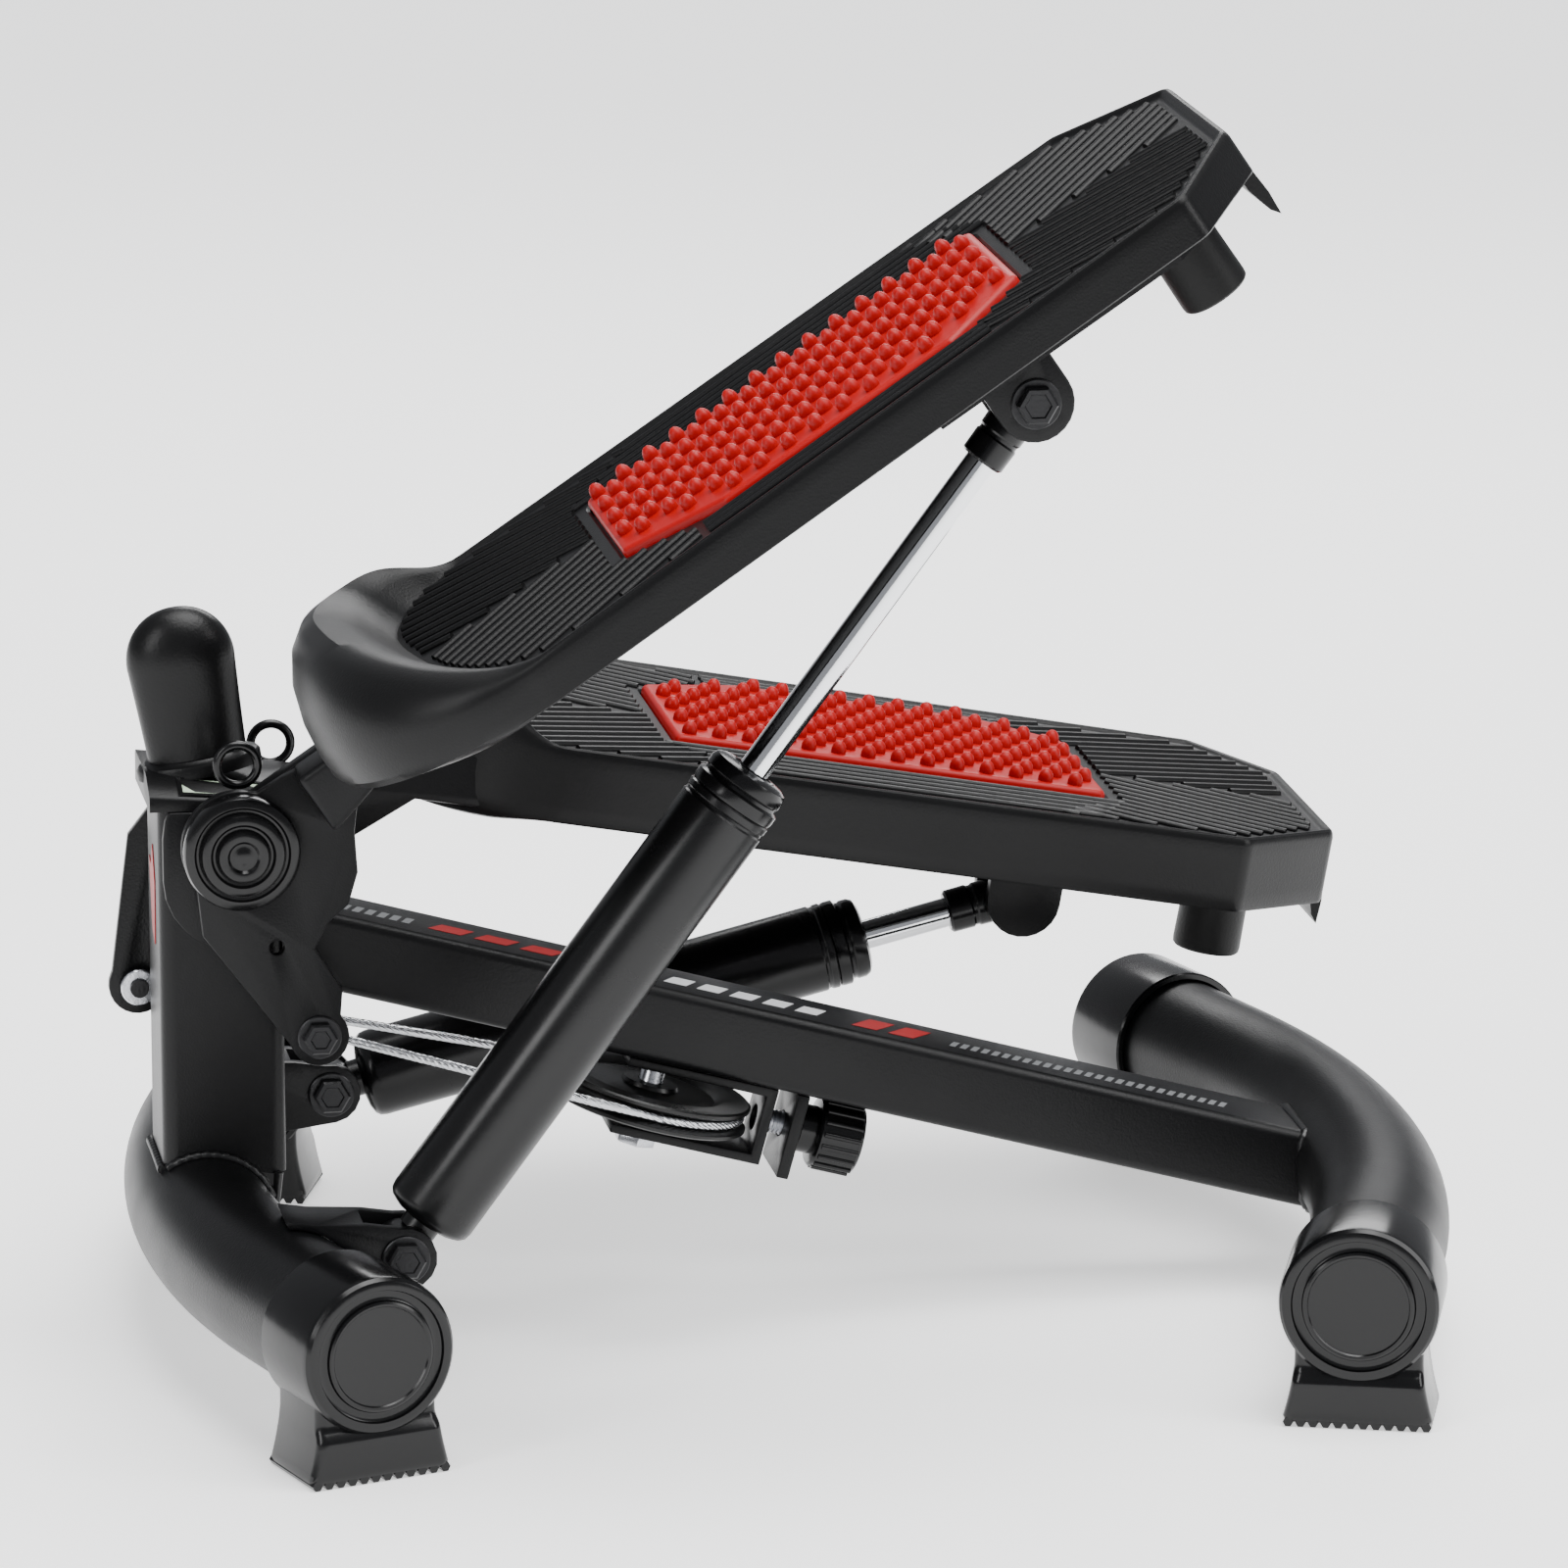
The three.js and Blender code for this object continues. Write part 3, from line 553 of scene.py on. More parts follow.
along_beam = (beam_frame @ Matrix.Translation((0, 0, PULLEY_N))
              @ Matrix.Rotation(math.radians(90), 4, "Y"))
thread = []
for i in range(25):
    s = 38 + i * 1.25
    thread += [(3.4, s), (4.0, s + 0.45), (4.0, s + 0.65)]
rod = lathe("threaded_rod", [(0, 38), *thread, (3.4, 69), (0, 69)], along_beam, 20, 20)
fit(rod, "adjuster", zinc, "zinc_steel", "adjuster_screw")
knob_profile = [(4.4, 51), (7.4, 51), (8, 51.6), (8, 56.6), (11, 57), (11.8, 57.8), (11.8, 71),
                (11, 72), (8.5, 72.4), (0, 72.4), (0, 69.4), (4.4, 69.4)]
fit(lathe("adjuster_grip", knob_profile, along_beam, 48), "adjuster", gloss_black, "tread_black",
    "adjuster_knob")
lines = [(along_beam @ Vector((11.7 * math.cos(a), 11.7 * math.sin(a), 58.6)),
          along_beam @ Vector((11.7 * math.cos(a), 11.7 * math.sin(a), 71)))
         for a in (2 * math.pi * i / 18 for i in range(18))]
fit(bars("adjuster_flutes", lines, 1.0, gloss_black, 8), "adjuster", gloss_black, "tread_black")

# ---- console, display, button and battery cover --------------------------------------------------
# A moulded cap closes the column. Beside the grip it holds a pale green coated display in a black
# border, with one red button behind it and a battery cover on the other side.
satin_plastic = grained("satin_plastic", (0.0032, 0.0032, 0.0034), 0.36, grain=1100, depth=0.18,
                        lift=1.4, shine=0.2)
button_red = grained("button_red", (0.36, 0.002, 0.006), 0.3, grain=500, depth=0.05, lift=1.1)
display_look, display_shader = principled("pale_display", (0.55, 0.68, 0.5), 0.12)
nodes, links = display_look.node_tree.nodes, display_look.node_tree.links
lit = nodes.new("ShaderNodeTexNoise")
lit.inputs["Scale"].default_value = 90
tint = nodes.new("ShaderNodeMix")
tint.data_type = "RGBA"
tint.inputs["A"].default_value = (0.5, 0.66, 0.46, 1)
tint.inputs["B"].default_value = (0.62, 0.74, 0.57, 1)
spot = nodes.new("ShaderNodeTexCoord")
links.new(spot.outputs["Object"], lit.inputs["Vector"])
links.new(lit.outputs["Fac"], tint.inputs["Factor"])
links.new(tint.outputs["Result"], display_shader.inputs["Base Color"])
display_shader.inputs["Coat Weight"].default_value = 0.7


def panel(x, y):
    """Height of the console's top, which falls towards the heel and slopes on the left side."""
    top = 189 - (x + 208) * 0.125
    return top - max(0.0, -11 - y) * (0.42 - (x + 208) * 0.0035)


form = bmesh.new()
ends = []
for x in (-208, -158):
    ring = [(23, 178.8), (23, panel(x, 0) - 1.2), (21.6, panel(x, 0)), (-11, panel(x, -11)),
            (-22.6, panel(x, -22.6)), (-23.4, panel(x, -22.6) - 1), (-23.4, 178.8)]
    ends.append([form.verts.new(Vector((x, y, z)) * MM) for y, z in ring])
for j in range(len(ends[0])):
    form.faces.new((ends[0][j - 1], ends[0][j], ends[1][j], ends[1][j - 1]))
for ring in ends:
    form.faces.new(ring)
fit(eased(form, "console_moulding", 0.7, 3), "frame", satin_plastic, "tread_black", "console_housing")


def laid(name, x0, x1, y0, y1, thick, look, slot, *stands_for):
    """A thin slab lying on the console's sloping panel."""
    corners = ((x0, y0), (x1, y0), (x1, y1), (x0, y1))
    loops = [[(x, y, panel(x, y) + h) for x, y in corners] for h in (-0.4, thick)]
    return fit(piece_from(name, *skin(loops), 20), "frame", look, slot, *stands_for)


laid("pale_lcd", -197, -171.8, -20.8, -13, 0.25, display_look, "display", "console_window")
for name, box in (("near", (-198.6, -170.2, -22.2, -20.8)), ("far", (-198.6, -170.2, -13, -12)),
                  ("front", (-198.6, -197, -20.8, -13)), ("heel", (-171.8, -170.2, -20.8, -13))):
    laid(f"lcd_{name}_border", *box, 0.7, gloss_black, "tread_black")
softened("battery_cover", "frame", satin_plastic, "tread_black", 0.4)
press_profile = [(0, 182), (2.6, 182), (2.9, 182.4), (2.9, 184.6), (2.4, 185.2), (1.2, 185.5),
                 (0, 185.6)]
press = lathe("reset_press", press_profile, Matrix.Translation((-165.5, -17, 0)), 28, 40)
fit(press, "reset_button", button_red, "rubber_red", "console_button")

# ---- carry grip ----------------------------------------------------------------------------------
# A flattened, round-topped post leaning a little forward out of the console, by which the stepper
# is lifted. It is a satin moulding that swells towards its top.
lean = Matrix.Translation((-195, 0, 223.2)) @ Matrix.Rotation(math.radians(-9), 4, "Y")
post = [(15.9 + 1.6 * (k / 14) ** 1.4, -36 + 36 * k / 14) for k in range(15)]
for k in range(1, 17):
    a0 = math.radians(90 * k / 16)
    post.append((17.5 * math.cos(a0) ** 0.92 if k < 16 else 0.001, 17.3 * math.sin(a0)))
collar = [(20.2, -36.5), (20.2, -33.4), (19.4, -32.4), (17.4, -32), (16.2, -31.2)]
for name, profile, flat, sharp, node in (("domed_grip", post, 0.64, 50, ("carry_grip",)),
                                         ("grip_collar", collar, 0.68, 40, ())):
    points, faces = skin(turned(profile, 48))
    where = lean @ Matrix.Diagonal((1, flat, 1, 1))
    fit(piece_from(name, placed(points, where), faces, sharp), "frame", satin_plastic, "tread_black",
        *node)

# ---- dampers -------------------------------------------------------------------------------------
# Two oil dampers lean back from clevises saddled on the front tube. Each has an enamelled barrel, a
# black gland, a chromed rod and a ferrule with an eye that the tread's clevis holds.
PIN = Vector((-138, 0, 52))
TREAD_MID = 97
barrel_enamel = grained("barrel_enamel", (0.0025, 0.0025, 0.0027), 0.26, grain=350, depth=0.05, patch=22,
                        uneven=0.05, lift=1.5, shine=0.34)
rod_chrome = grained("rod_chrome", (0.82, 0.83, 0.85), 0.07, 1.0, grain=1600, depth=0.02, patch=40,
                     uneven=0.03, lift=1.03)
nylon = grained("nylon", (0.72, 0.71, 0.66), 0.42, grain=700, depth=0.08, lift=1.08)
barrel_profile = [(0, 8), (6.2, 8), (6.3, 11.4), (10.6, 12.2), (13.2, 13.4), (14.3, 14.8),
                  (14.7, 17), (14.7, 171.6), (14.2, 172.2), (14.1, 173), (14.6, 173.6),
                  (14.7, 175.6), (14.2, 176.1), (0, 176.1)]
gland_profile = [(5.3, 172), (12.9, 172), (13.2, 176), (14.3, 176.4), (14.6, 177.4), (14.6, 180.2),
                 (13.4, 181), (13.1, 182), (13.6, 182.8), (13.6, 185.4), (12.8, 187), (11, 187.9),
                 (8, 188.2), (7.4, 187.6), (6.4, 187.5), (5.3, 187.3)]


def hex_head(name, x, y, z, radius, thickness, body, look, side, washer=True):
    """A hexagon bolt head with a chamfered crown and a washer under it, facing one side."""
    where = across_matrix(x, y, z, side)
    crown = [(radius, 0), (radius, thickness - 0.7), (radius - 0.7, thickness),
             (radius - 2.2, thickness), (radius - 2.6, thickness - 0.6), (0.01, thickness - 0.6)]
    points, faces = skin(turned(crown, 6))
    made = [piece_from(name + "_head", placed(points, where), faces, 20)]
    if washer:
        ring = [(0, -0.9), (radius + 1.2, -0.9), (radius + 1.5, -0.6), (radius + 1.5, -0.1),
                (radius + 1.1, 0.2), (0, 0.2)]
        made.append(lathe(name + "_washer", ring, where, 32))
    for item in made:
        fit(item, body, look, "zinc_steel")
    return made


def damper(name, side, angle, length):
    sign = -1 if side == "left" else 1
    lay = (Matrix.Translation((PIN.x, sign * TREAD_MID, PIN.z)) @ Matrix.Rotation(-angle, 4, "Y")
           @ Matrix.Rotation(math.radians(90), 4, "Y"))

    def along(piece, profile, body, look, slot, sides=56, ring=False, node=None):
        nodes = (node,) if node else ()
        return fit(lathe(piece, profile, lay, sides, 28, ring), body, look, slot, *nodes)

    def eye_at(piece, x, radius, hole, half, body, look):
        where = lay @ Matrix.Translation((0, 0, x)) @ Matrix.Rotation(math.radians(90), 4, "X")
        ring = [(hole, -half + 0.5), (hole + 0.5, -half), (radius - 0.9, -half), (radius, -half + 0.9),
                (radius, half - 0.9), (radius - 0.9, half), (hole + 0.5, half), (hole, half - 0.5)]
        return fit(lathe(piece, ring, where, 48, 30, True), body, look, "barrel_black")

    along(f"{side}_enamelled_barrel", barrel_profile, f"{side}_barrel", barrel_enamel,
          "barrel_black", 64, node=f"{name}_barrel")
    eye_at(f"{side}_barrel_eye", 0, 9, 4.3, 6, f"{side}_barrel", barrel_enamel)
    along(f"{side}_gland_nut", gland_profile, f"{side}_barrel", gloss_black, "tread_black", 64, True,
          f"{name}_gland")
    back = length - 180
    rod = [(0, back + 10), (4.6, back + 10), (5, back + 10.6), (5, length - 22), (0, length - 22)]
    along(f"{side}_chromed_rod", rod, f"{side}_rod", rod_chrome, "rod_chrome", 40,
          node=f"{name}_piston_rod")
    ferrule = [(0, length - 25), (6.4, length - 25), (7.3, length - 24.2), (7.4, length - 17),
               (6.9, length - 16.3), (6.9, length - 15.3), (7.4, length - 14.6), (7.5, length - 11),
               (6.8, length - 7), (0, length - 6)]
    along(f"{side}_rod_ferrule", ferrule, f"{side}_rod", gloss_black, "tread_black", 40,
          node=f"{name}_rod_eye")
    eye_at(f"{side}_rod_ring", length, 10, 5, 7, f"{side}_rod", gloss_black)
    repaint(f"{name}_piston", nylon)


def eye_of(angle):
    """Angle and length of a damper whose upper eye is on a tread at this angle."""
    c, s = math.cos(math.radians(angle)), math.sin(math.radians(angle))
    x, z = AXLE.x + 285 * c + 11.5 * s - PIN.x, AXLE.z + 285 * s - 11.5 * c - PIN.z
    return math.atan2(z, x), math.hypot(x, z)


LEFT_REST, RIGHT_REST = 34, -10
damper("left_damper", "left", *eye_of(LEFT_REST))
damper("right_damper", "right", *eye_of(RIGHT_REST))
for name, sign in (("left", -1), ("right", 1)):
    softened(f"{name}_base_clevis", "frame", powder_coat, "steel_black", 0.8)
    where = across_matrix(PIN.x, sign * TREAD_MID, PIN.z, -1)
    shank = lathe(f"{name}_pin_shank", [(0, -12), (4, -12), (4, 12), (0, 12)], where, 24, 35)
    fit(shank, "frame", blackened, "zinc_steel", f"{name}_base_pin")
    for face in (-1, 1):
        hex_head(f"{name}_pin_{'outer' if face == sign else 'inner'}", PIN.x,
                 sign * TREAD_MID + face * 11.9, PIN.z, 6.2, 3.4, "frame", blackened, face)

# ---- treads --------------------------------------------------------------------------------------
# Each tread is a satin black moulding on a steel arm: a flat deck with a raised rim and ribs for
# grip, a round toe cup with a closed underside, and a red massage plate of soft nubs let into the
# deck.
tread_plastic = grained("tread_plastic", (0.003, 0.003, 0.0032), 0.36, grain=1300, depth=0.16, patch=10,
                        uneven=0.06, lift=1.45, shine=0.2)
rubber_red = grained("rubber_red", (0.34, 0.0004, 0.0014), 0.4, grain=900, depth=0.08, patch=25,
                     lift=1.12, shine=0.22)
rubber_black = grained("rubber_black", (0.0035, 0.0035, 0.0035), 0.5, grain=900, depth=0.2,
                       lift=1.5, shine=0.2)
DECK = 32.0
toe_edge = [(112, 22), (82, 26), (58, 40), (44, 68), (40.5, 104), (45, 138), (60, 163), (84, 177),
            (112, 181)]
toe_floor = [(108, 27), (95, 31), (85, 42), (80, 62), (83, 95), (88, 124), (96, 147), (107, 166),
             (120, 175.5)]
toe_rise = [0, 0.5, 0.68, 0.84, 1, 0.8, 0.56, 0.3, 0]
toe_under = [0, 0.75, 1, 1, 1, 1, 1, 0.7, 0]


def spline(values, steps):
    """Smooth values through the given ones, which may be numbers or points."""
    values = [Vector((*v, 0)) if isinstance(v, tuple) else v for v in values]
    ends = [values[0] * 2 - values[1], *values, values[-1] * 2 - values[-2]]
    out = []
    for i in range(1, len(values)):
        a, b, c, d = ends[i - 1:i + 3]
        for s in range(steps):
            t = s / steps
            out.append(0.5 * (2 * b + (c - a) * t + (2 * a - 5 * b + 4 * c - d) * t * t
                              + (3 * b - a - 3 * c + d) * t * t * t))
    return out + [values[-1]]


def filleted(corners, radius, steps=6):
    """An outline with each corner rounded by an arc of that radius."""
    out = []
    for i, corner in enumerate(corners):
        here = Vector(corner)
        before = (Vector(corners[i - 1]) - here).normalized()
        after = (Vector(corners[(i + 1) % len(corners)]) - here).normalized()
        half = before.angle(after) / 2
        back_off = radius / math.tan(half)
        a, b = here + before * back_off, here + after * back_off
        for s in range(steps + 1):
            t = s / steps
            out.append((1 - t) ** 2 * a + 2 * t * (1 - t) * here + t * t * b)
    return [(p.x, p.y) for p in out]


STEPS = 9
edge = [(p.x, p.y) for p in spline(toe_edge, STEPS)]
floor_edge = [(p.x, p.y) for p in spline(toe_floor, STEPS)]
rise = [min(max(v, 0), 1) for v in spline(toe_rise, STEPS)]
under = [min(max(v, 0), 1) for v in spline(toe_under, STEPS)]
toe_count = len(edge)
rear = filleted([(112, 181), (354, 174), (379, 138), (379, 54), (342, 22), (112, 22)], 7)[7:-7]
straight = [(112 + (347 - 112) * k / 12, 181 - 7 * (112 + (347 - 112) * k / 12 - 112) / 242)
            for k in range(1, 12)]
home = [(336 - (336 - 112) * k / 12, 22) for k in range(1, 12)]
rest_edge = straight + rear + home
RIM = 5.2
for i, (u, v) in enumerate(rest_edge):
    a = Vector(rest_edge[i - 1] if i else edge[-1])
    b = Vector(rest_edge[i + 1] if i + 1 < len(rest_edge) else edge[0])
    along = (b - a).normalized()
    inward = Vector((along.y, -along.x))
    if inward.dot(Vector((240, 100)) - Vector((u, v))) < 0:
        inward = -inward
    edge.append((u, v))
    floor_edge.append((u + inward.x * RIM, v + inward.y * RIM))
    rise.append(0)
    under.append(0)

# sections from the skirt's foot over the rim to the deck: (share of the way in, height)
rim_section = [(0.3, 8), (0.1, 8.2), (0, 9.2), (0, 14), (0, 20), (0, 27), (0, 30.6), (0.05, 31.9),
               (0.16, 32.9), (0.34, 33.4), (0.52, 33.3), (0.66, 32.8), (0.78, 32.3), (0.88, 32.05),
               (1, DECK)]
cup_section = [(0.46, 5.6), (0.3, 6.4), (0.16, 9), (0.05, 14), (0, 21), (0, 27.5), (0.03, 36),
               (0.11, 45.5), (0.24, 53), (0.4, 57.2), (0.54, 57.4), (0.7, 53), (0.82, 45.5),
               (0.91, 38), (1, DECK)]
LOW_ROWS = 5
low_lift = [10.5, 10.5, 10, 6.5, 2.5]


def shell_skin():
    """Loops round the whole tread, from the skirt's foot to the deck's edge, in tread coordinates."""
    loops = []
    for row, ((s0, w0), (s1, w1)) in enumerate(zip(rim_section, cup_section)):
        loop = []
        for i, (e, f) in enumerate(zip(edge, floor_edge)):
            k = under[i] if row < LOW_ROWS else rise[i]
            smooth = k * k * (3 - 2 * k)
            share = s0 + (s1 - s0) * smooth
            out = min(max((e[1] - 60) / 105, 0), 1)
            lifted = low_lift[row] * out * out * (3 - 2 * out) if row < LOW_ROWS else 0
            loop.append((e[0] + (f[0] - e[0]) * share, e[1] + (f[1] - e[1]) * share,
                         w0 + (w1 - w0) * smooth + lifted))
        loops.append(loop)
    return loops


plate_corners = [(153, 62), (301, 62), (301, 138), (272, 157), (188, 157), (153, 138)]


def shrunk(corners, d):
    """The plate's outline moved inwards by d on every side."""
    out = []
    for i, corner in enumerate(corners):
        here = Vector(corner)
        a = (here - Vector(corners[i - 1])).normalized()
        b = (Vector(corners[(i + 1) % len(corners)]) - here).normalized()
        na, nb = Vector((-a.y, a.x)), Vector((-b.y, b.x))
        out.append(tuple(here + (na + nb) * (d / (1 + na.dot(nb)))))
    return out


def tread_space(sign, angle):
    """Tread coordinates (back, out, up) to the row frame."""
    a = math.radians(angle)
    return Matrix(((math.cos(a), 0, -math.sin(a), AXLE.x), (0, sign, 0, 0),
                   (math.sin(a), 0, math.cos(a), AXLE.z), (0, 0, 0, 1)))


def deck_shell(name, body, space, node):
    form = bmesh.new()
    loops = [[form.verts.new(Vector(p) * MM) for p in loop] for loop in shell_skin()]
    count = len(loops[0])
    for a, b in zip(loops, loops[1:]):
        for j in range(count):
            k = (j + 1) % count
            form.faces.new((a[j], a[k], b[k], b[j]))
    # closed underside of the toe cup: rows across it, from the back edge to the nose
    cross = 12
    rows = []
    for i in range(toe_count // 2 + 1):
        left, right = loops[0][i], loops[0][toe_count - 1 - i]
        if left == right:
            rows.append([left] * (cross + 1))
            break
        mids = [form.verts.new(left.co.lerp(right.co, k / cross)) for k in range(1, cross)]
        rows.append([left, *mids, right])
    for a, b in zip(rows, rows[1:]):
        for k in range(cross):
            corners = [a[k], a[k + 1], b[k + 1], b[k]]
            corners = [c for n, c in enumerate(corners) if c not in corners[:n]]
            if len(corners) > 2:
                form.faces.new(corners)
    # deck with the pocket for the plate
    rim, lip, sump = [[form.verts.new((u * MM, v * MM, w * MM))
                       for u, v in filleted(shrunk(plate_corners, d), 3)]
                      for d, w in ((-1.2, DECK), (-0.4, DECK - 0.8), (-0.4, 29.6))]
    for a, b in ((rim, lip), (lip, sump)):
        for j in range(len(a)):
            k = (j + 1) % len(a)
            form.faces.new((a[j], a[k], b[k], b[j]))
    form.faces.new(sump)
    ring_edges = [form.edges.get((loops[-1][j], loops[-1][(j + 1) % count])) for j in range(count)]
    ring_edges += [form.edges.get((rim[j], rim[(j + 1) % len(rim)])) for j in range(len(rim))]
    bmesh.ops.triangle_fill(form, use_beauty=True, use_dissolve=False, edges=ring_edges)
    bmesh.ops.remove_doubles(form, verts=form.verts, dist=1e-6)
    bmesh.ops.recalc_face_normals(form, faces=form.faces)
    top = max((f for f in form.faces if abs(f.normal.z) > 0.99), key=lambda f: f.calc_center_median().z)
    if top.normal.z < 0:
        bmesh.ops.reverse_faces(form, faces=form.faces)
    mesh = bpy.data.meshes.new(name)
    form.to_mesh(mesh)
    form.free()
    shell = bpy.data.objects.new(name, mesh)
    scene.collection.objects.link(shell)
    wall = shell.modifiers.new("wall", "SOLIDIFY")
    wall.thickness = 2.2 * MM
    wall.offset = -1
    solid = bpy.data.meshes.new_from_object(shell.evaluated_get(bpy.context.evaluated_depsgraph_get()))
    shell.modifiers.clear()
    shell.data = solid
    solid.transform(space_in_metres(space))
    if space.determinant() < 0:
        solid.flip_normals()
    solid.shade_smooth()
    solid.set_sharp_from_angle(angle=math.radians(32))
    return fit(shell, body, tread_plastic, "tread_black", node)


def space_in_metres(space):
    scaled = space.copy()
    scaled.translation = space.translation * MM
    return scaled


def clipped(start, direction, region):
    """The longest stretch of a line inside a region given as a test, found by walking along it."""
    best, run = None, []
    for k in range(0, 400):
        p = (start[0] + direction[0] * k * 0.6, start[1] + direction[1] * k * 0.6)
        if region(*p):
            run.append(p)
        elif run:
            if best is None or len(run) > len(best):
                best = run
            run = []
    best = best if best and len(best) >= len(run) else run
    return (best[0], best[-1]) if best and len(best) > 8 else None


def inside_outline(u, v, outline):
    hit = False
    for i, (u1, v1) in enumerate(outline):
        u0, v0 = outline[i - 1]
        if (v0 > v) != (v1 > v) and u < (u1 - u0) * (v - v0) / (v1 - v0) + u0:
            hit = not hit
    return hit


deck_field = [(f[0], f[1]) for f in floor_edge]


def on_deck(u, v, margin=2.0):
    return all(inside_outline(u + du, v + dv, deck_field)
               for du, dv in ((margin, 0), (-margin, 0), (0, margin), (0, -margin)))


pocket = shrunk(plate_corners, -2.8)
RIB_PITCH, RIB_R = 6.4, 1.5


def rib_lines():
    """Centre lines of the ribs: strips along both sides, and chevrons before and behind the plate."""
    lines = []
    for v in (32, 38, 44, 50, 56):
        lines.append(clipped((100, v), (1, 0), lambda a, b: on_deck(a, b)
                             and 148 + (56 - b) < a < 306 - (56 - b) / 2))
    for k in range(3):
        v = 162.5 + k * 4.6
        lines.append(clipped((116, v), (1, -0.029), lambda a, b: on_deck(a, b, 1.4) and 178 < a < 284))
    for sign, zone in ((1, "front"), (-1, "rear")):
        for half, slope in (("inner", 0.52), ("outer", -0.42)):
            d = Vector((1, sign * slope)).normalized()
            for k in range(-40, 60):
                apex = (153 - 14 if zone == "front" else 301 + 14)
                middle = 98
                start = (apex - sign * 200 * d.x, middle - sign * 200 * d.y + k * RIB_PITCH * 1.1)

                def region(a, b, zone=zone, half=half):
                    if not on_deck(a, b) or inside_outline(a, b, pocket):
                        return False
                    spare = max(0, 58 - b) if half == "inner" else max(0, b - 138) * 1.5
                    if zone == "front" and a > 148 + spare or zone == "rear" and a < 306 - spare:
                        return False
                    return b < middle - 1.5 if half == "inner" else b > middle + 1.5
                line = clipped(start, (d.x * sign, d.y * sign), region)
                lines.append(line)
    return [line for line in lines if line]


def studs_tree():
    """Geometry Nodes: a round-headed stud standing on every point."""
    tree, start, real = new_tree("studs_on_points", {"Places": "Geometry", "Stud radius": "Float",
                                                     "Stud stretch": "Float"}, "Studs")
    nodes, links = tree.nodes, tree.links
    head = new_node(nodes, "GeometryNodeMeshUVSphere", {"Segments": 14, "Rings": 9})
    scale = new_node(nodes, "ShaderNodeCombineXYZ", {"X": 1, "Y": 1})
    spread = nodes.new("GeometryNodeInstanceOnPoints")
    links.new(start.outputs["Places"], spread.inputs["Points"])
    links.new(start.outputs["Stud radius"], head.inputs["Radius"])
    links.new(start.outputs["Stud stretch"], scale.inputs["Z"])
    links.new(scale.outputs["Vector"], spread.inputs["Scale"])
    links.new(head.outputs["Mesh"], spread.inputs["Instance"])
    links.new(spread.outputs["Instances"], real.inputs["Geometry"])
    return tree


STUDS = studs_tree()


def in_place(piece, space):
    """Carries a piece made in tread coordinates into the row frame."""
    piece.data.transform(space_in_metres(space))
    if space.determinant() < 0:
        piece.data.flip_normals()
    return piece


def massage_plate(name, body, space, node):
    loops = []
    for d, w in ((0.2, 30.2), (0.2, 33), (0.7, 33.9), (1.5, 34.4), (2.6, 34.5)):
        loops.append([(u, v, w) for u, v in filleted(shrunk(plate_corners, d), 2.6)])
    points, faces = skin(loops)
    fit(piece_from(name, placed(points, space), faces, 40), body, rubber_red, "rubber_red", node)
    field = shrunk(plate_corners, 5)
    places = []
    for row in range(10):
        for i in range(15):
            u, v = 158 + i * 10.2 + (row % 2) * 5.1, 67 + row * 9.3
            if inside_outline(u, v, field):
                places.append((u, v, 35.2))
    nubs = run_tree(name + "_nubs", STUDS, places, [],
                    {"Stud radius": 2.6 * MM, "Stud stretch": 1.35, "Finish": rubber_red})
    fit(in_place(nubs, space), body, rubber_red, "rubber_red")


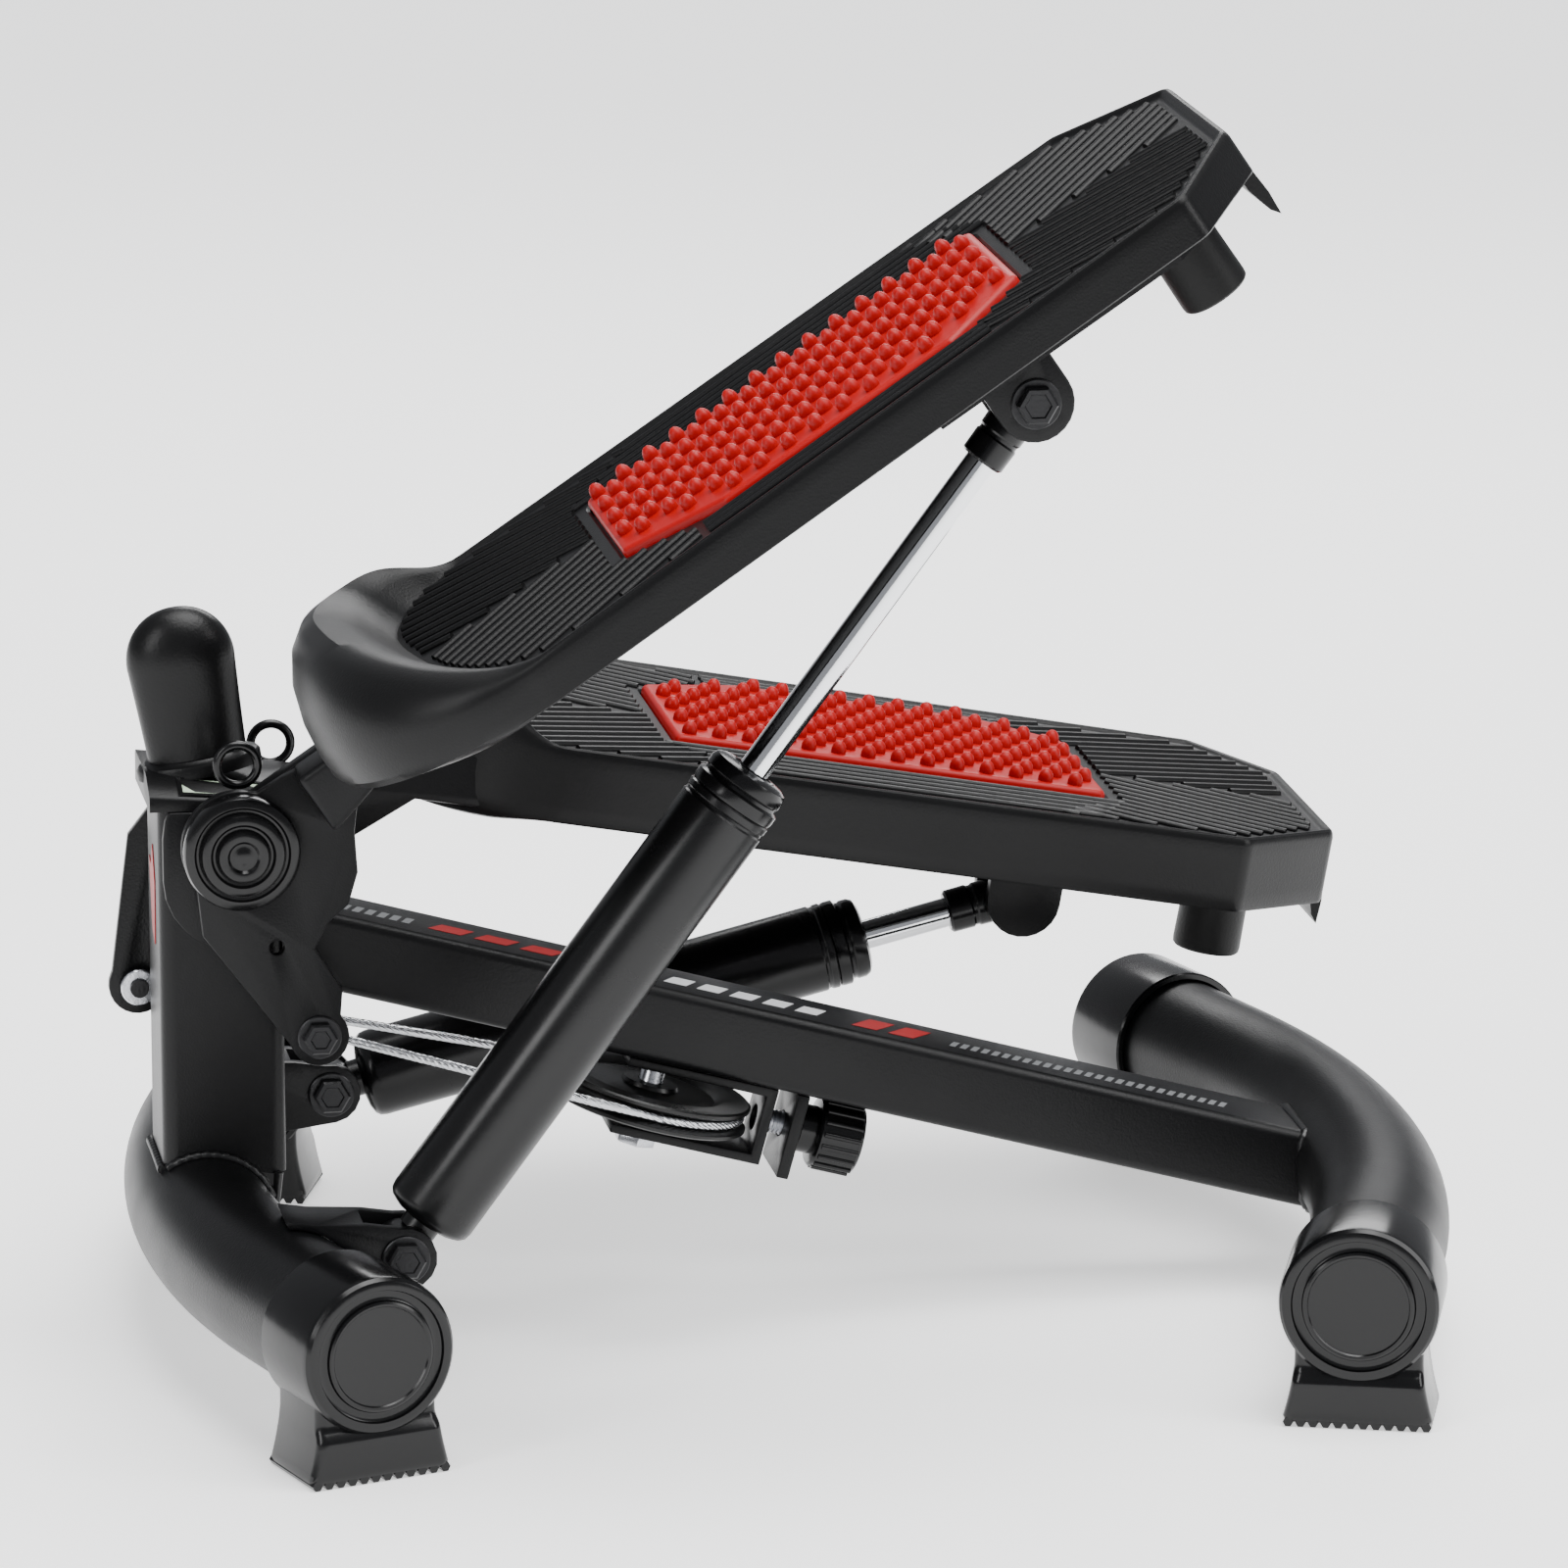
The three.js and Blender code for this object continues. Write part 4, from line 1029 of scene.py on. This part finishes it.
def tread(side, sign, angle):
    body = f"{side}_tread"
    node = f"{side}_tread_"
    space = tread_space(sign, angle)
    deck_shell(f"{side}_deck_shell", body, space, node + "shell")
    lines = [((a[0], a[1], DECK), (b[0], b[1], DECK)) for a, b in rib_lines()]
    fit(in_place(bars(f"{side}_deck_ribs", lines, RIB_R, tread_plastic, 8), space), body, tread_plastic,
        "tread_black")
    massage_plate(f"{side}_nub_plate", body, space, node + "massage_plate")

    lip = [(374.4, 22), (378.6, 22), (379.7, 8), (379.2, 0), (377, 3), (374.6, 12)]
    loops = [[(u, v, w) for u, w in lip] for v in (58, 134)]
    points, faces = skin(loops)
    heel = piece_from(f"{side}_heel_lip", placed(points, space), faces, 30)
    fit(heel, body, tread_plastic, "tread_black")

    outwards = Matrix.Rotation(math.radians(-90), 4, "X")
    sleeve = [(10.6, 25.4), (14.3, 25.4), (15, 26.1), (15, 39.7), (14.3, 40.4), (10.6, 40.4)]
    fit(lathe(f"{side}_hub_sleeve", sleeve, space @ outwards, ring=True), body, powder_coat,
        "steel_black", node + "arm")
    arm_side = [(12, -12), (30, -11), (46, -6), (64, 9), (335, 9), (335, 26), (74, 26), (40, 11),
                (12, 11)]
    made = [slab(f"{side}_arm_plate", space, arm_side, 26, 33.4, 1),
            slab(f"{side}_arm_box", space, [(28, -10.5), *arm_side[2:-1], (28, 11)], 33, 52, 2.4, (), 4)]
    flat = [(255, 32), (335, 32), (366, 64), (366, 126), (345, 147), (255, 147)]
    loops = [[(u, v, w) for u, v in flat] for w in (9.6, 12.4)]
    points, faces = skin(loops)
    made.append(piece_from(f"{side}_cross_plate", placed(points, space), faces, 20))
    for item in made:
        fit(item, body, powder_coat, "steel_black")
    lever = [(-26, -17), (-23.9, -63), *circle(-14.8, -66.4, 9.6, 14, 165, 205), (0, -58),
             (0.5, -41.5), (9, -37), (17.5, -36), (26, -29), (33, -17), (40, -9), (40, 9), (24, 11),
             *circle(0, 0, 18.6, 16, 38, 150)]
    holes = (circle(0, 0, 15.6), circle(-14.8, -66.4, 3.2, 16), circle(-9, -34, 2.4, 16))
    lever = slab(f"{side}_cable_lever", space, lever, 33.9, 37.9, 0.6, holes)
    fit(lever, body, powder_coat, "steel_black", node + "lever")
    softened(node + "clevis", body, powder_coat, "steel_black", 0.8)
    repaint(node + "bush", nylon)
    stop = [(0, -20.9), (10.6, -20.9), (11.3, -20.2), (11.5, -18.6), (11.3, -4), (11.5, 8.6), (0, 8.6)]
    bumper = lathe(f"{side}_stop_bumper", stop, space @ Matrix.Translation((352, 92, 0)), 48)
    fit(bumper, body, rubber_black, "rubber_black", node + "bumper")
    ring = [[((6.5 + 1.5 * math.cos(b)) * math.cos(a), 1.5 * math.sin(b),
              (6.5 + 1.5 * math.cos(b)) * math.sin(a))
             for b in (2 * math.pi * t / 12 for t in range(12))]
            for a in (2 * math.pi * s / 40 for s in range(40))]
    points, faces = skin(ring, ring=True)
    where = space @ Matrix.Translation((14.5, 29.5, 20.6))
    fit(piece_from(f"{side}_rope_loop", placed(points, where), faces, 60), body, gloss_black,
        "zinc_steel", node + "rope_ring")

    def shank(name, u, w, v0, v1, radius, stands_for):
        where = space @ Matrix.Translation((u, 0, w)) @ outwards
        made = lathe(name, [(0, v0), (radius, v0), (radius, v1), (0, v1)], where, 24, 35)
        return fit(made, body, blackened, "zinc_steel", stands_for)

    reach, hang = 68, math.radians(-102.6)
    u, w = reach * math.cos(hang), reach * math.sin(hang)
    shank(f"{side}_lever_shank", u, w, 28.6, 38.4, 3, node + "lever_bolt")
    shank(f"{side}_clevis_shank", 285, -11.5, TREAD_MID + 8.2, TREAD_MID + 13, 4, node + "clevis_bolt")
    head = space @ Vector((u, 38.6, w))
    hex_head(f"{side}_lever_bolt", *head, 5.6, 3.4, body, blackened, sign)
    head = space @ Vector((285, TREAD_MID + 13, -11.5))
    hex_head(f"{side}_clevis_bolt", *head, 6.6, 3.6, body, blackened, sign)
    return space @ Vector((u, CABLE_R, w))


left_anchor = tread("left", -1, LEFT_REST)
right_anchor = tread("right", 1, RIGHT_REST)

# ---- drive cable ---------------------------------------------------------------------------------
# A stranded steel cable runs from one lever round the pulley to the other, so that one tread rises
# as the other sinks. Each end runs to an eyelet held by the lever's bolt; the swaged sleeve is not
# built.
cable_steel = grained("cable_steel", (0.6, 0.61, 0.63), 0.25, 1.0, grain=900, depth=0.1, lift=1.1)


def stranded(name, path, strands=6, radius=0.62, lay_r=0.95, pitch=14):
    """Round wires laid in a helix about the path."""
    path = [Vector(p) for p in path]
    points, faces, run = [], [], [0.0]
    for a, b in zip(path, path[1:]):
        run.append(run[-1] + (b - a).length)
    for n in range(strands):
        wire, side = [], None
        for i, p in enumerate(path):
            along = (path[min(i + 1, len(path) - 1)] - path[max(i - 1, 0)]).normalized()
            side = along.orthogonal() if side is None else side - along * side.dot(along)
            side.normalize()
            turn = 2 * math.pi * (n / strands + run[i] / pitch)
            wire.append(p + (side * math.cos(turn) + along.cross(side) * math.sin(turn)) * lay_r)
        more, more_faces = skin(tube_loops(wire, radius, 6))
        faces += [tuple(len(points) + q for q in f) for f in more_faces]
        points += more
    return piece_from(name, points, faces, 60)


def run_between(a, b, step=1.6):
    count = max(2, int((b - a).length / step))
    return [a.lerp(b, k / count) for k in range(count + 1)]


wrap = [beam_frame @ Vector((CABLE_R * math.cos(a), CABLE_R * math.sin(a), PULLEY_N))
        for a in (math.radians(-90 + 180 * k / 60) for k in range(61))]
left_run = run_between(left_anchor + (wrap[0] - left_anchor).normalized() * 6, wrap[0])
right_run = run_between(right_anchor + (wrap[-1] - right_anchor).normalized() * 6, wrap[-1])
fit(stranded("cable_round_pulley", wrap), "frame", cable_steel, "zinc_steel", "drive_cable")

right_cable = stranded("right_cable_run", right_run)
fit(right_cable, "frame", cable_steel, "zinc_steel")
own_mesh(right_cable)

left_cable = stranded("left_cable_run", left_run)
left_cable.data.materials.clear()
left_cable.data.materials.append(cable_steel)
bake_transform(left_cable)

for side, anchor in (("left", left_anchor), ("right", right_anchor)):
    eyelet = [(3.1, -1.3), (5.6, -1.3), (6, -0.9), (6, 0.9), (5.6, 1.3), (3.1, 1.3)]
    eyelet = lathe(f"{side}_cable_eyelet", eyelet, across_matrix(*anchor, -1), 28, 40, True)
    fit(eyelet, f"{side}_tread", zinc, "zinc_steel")
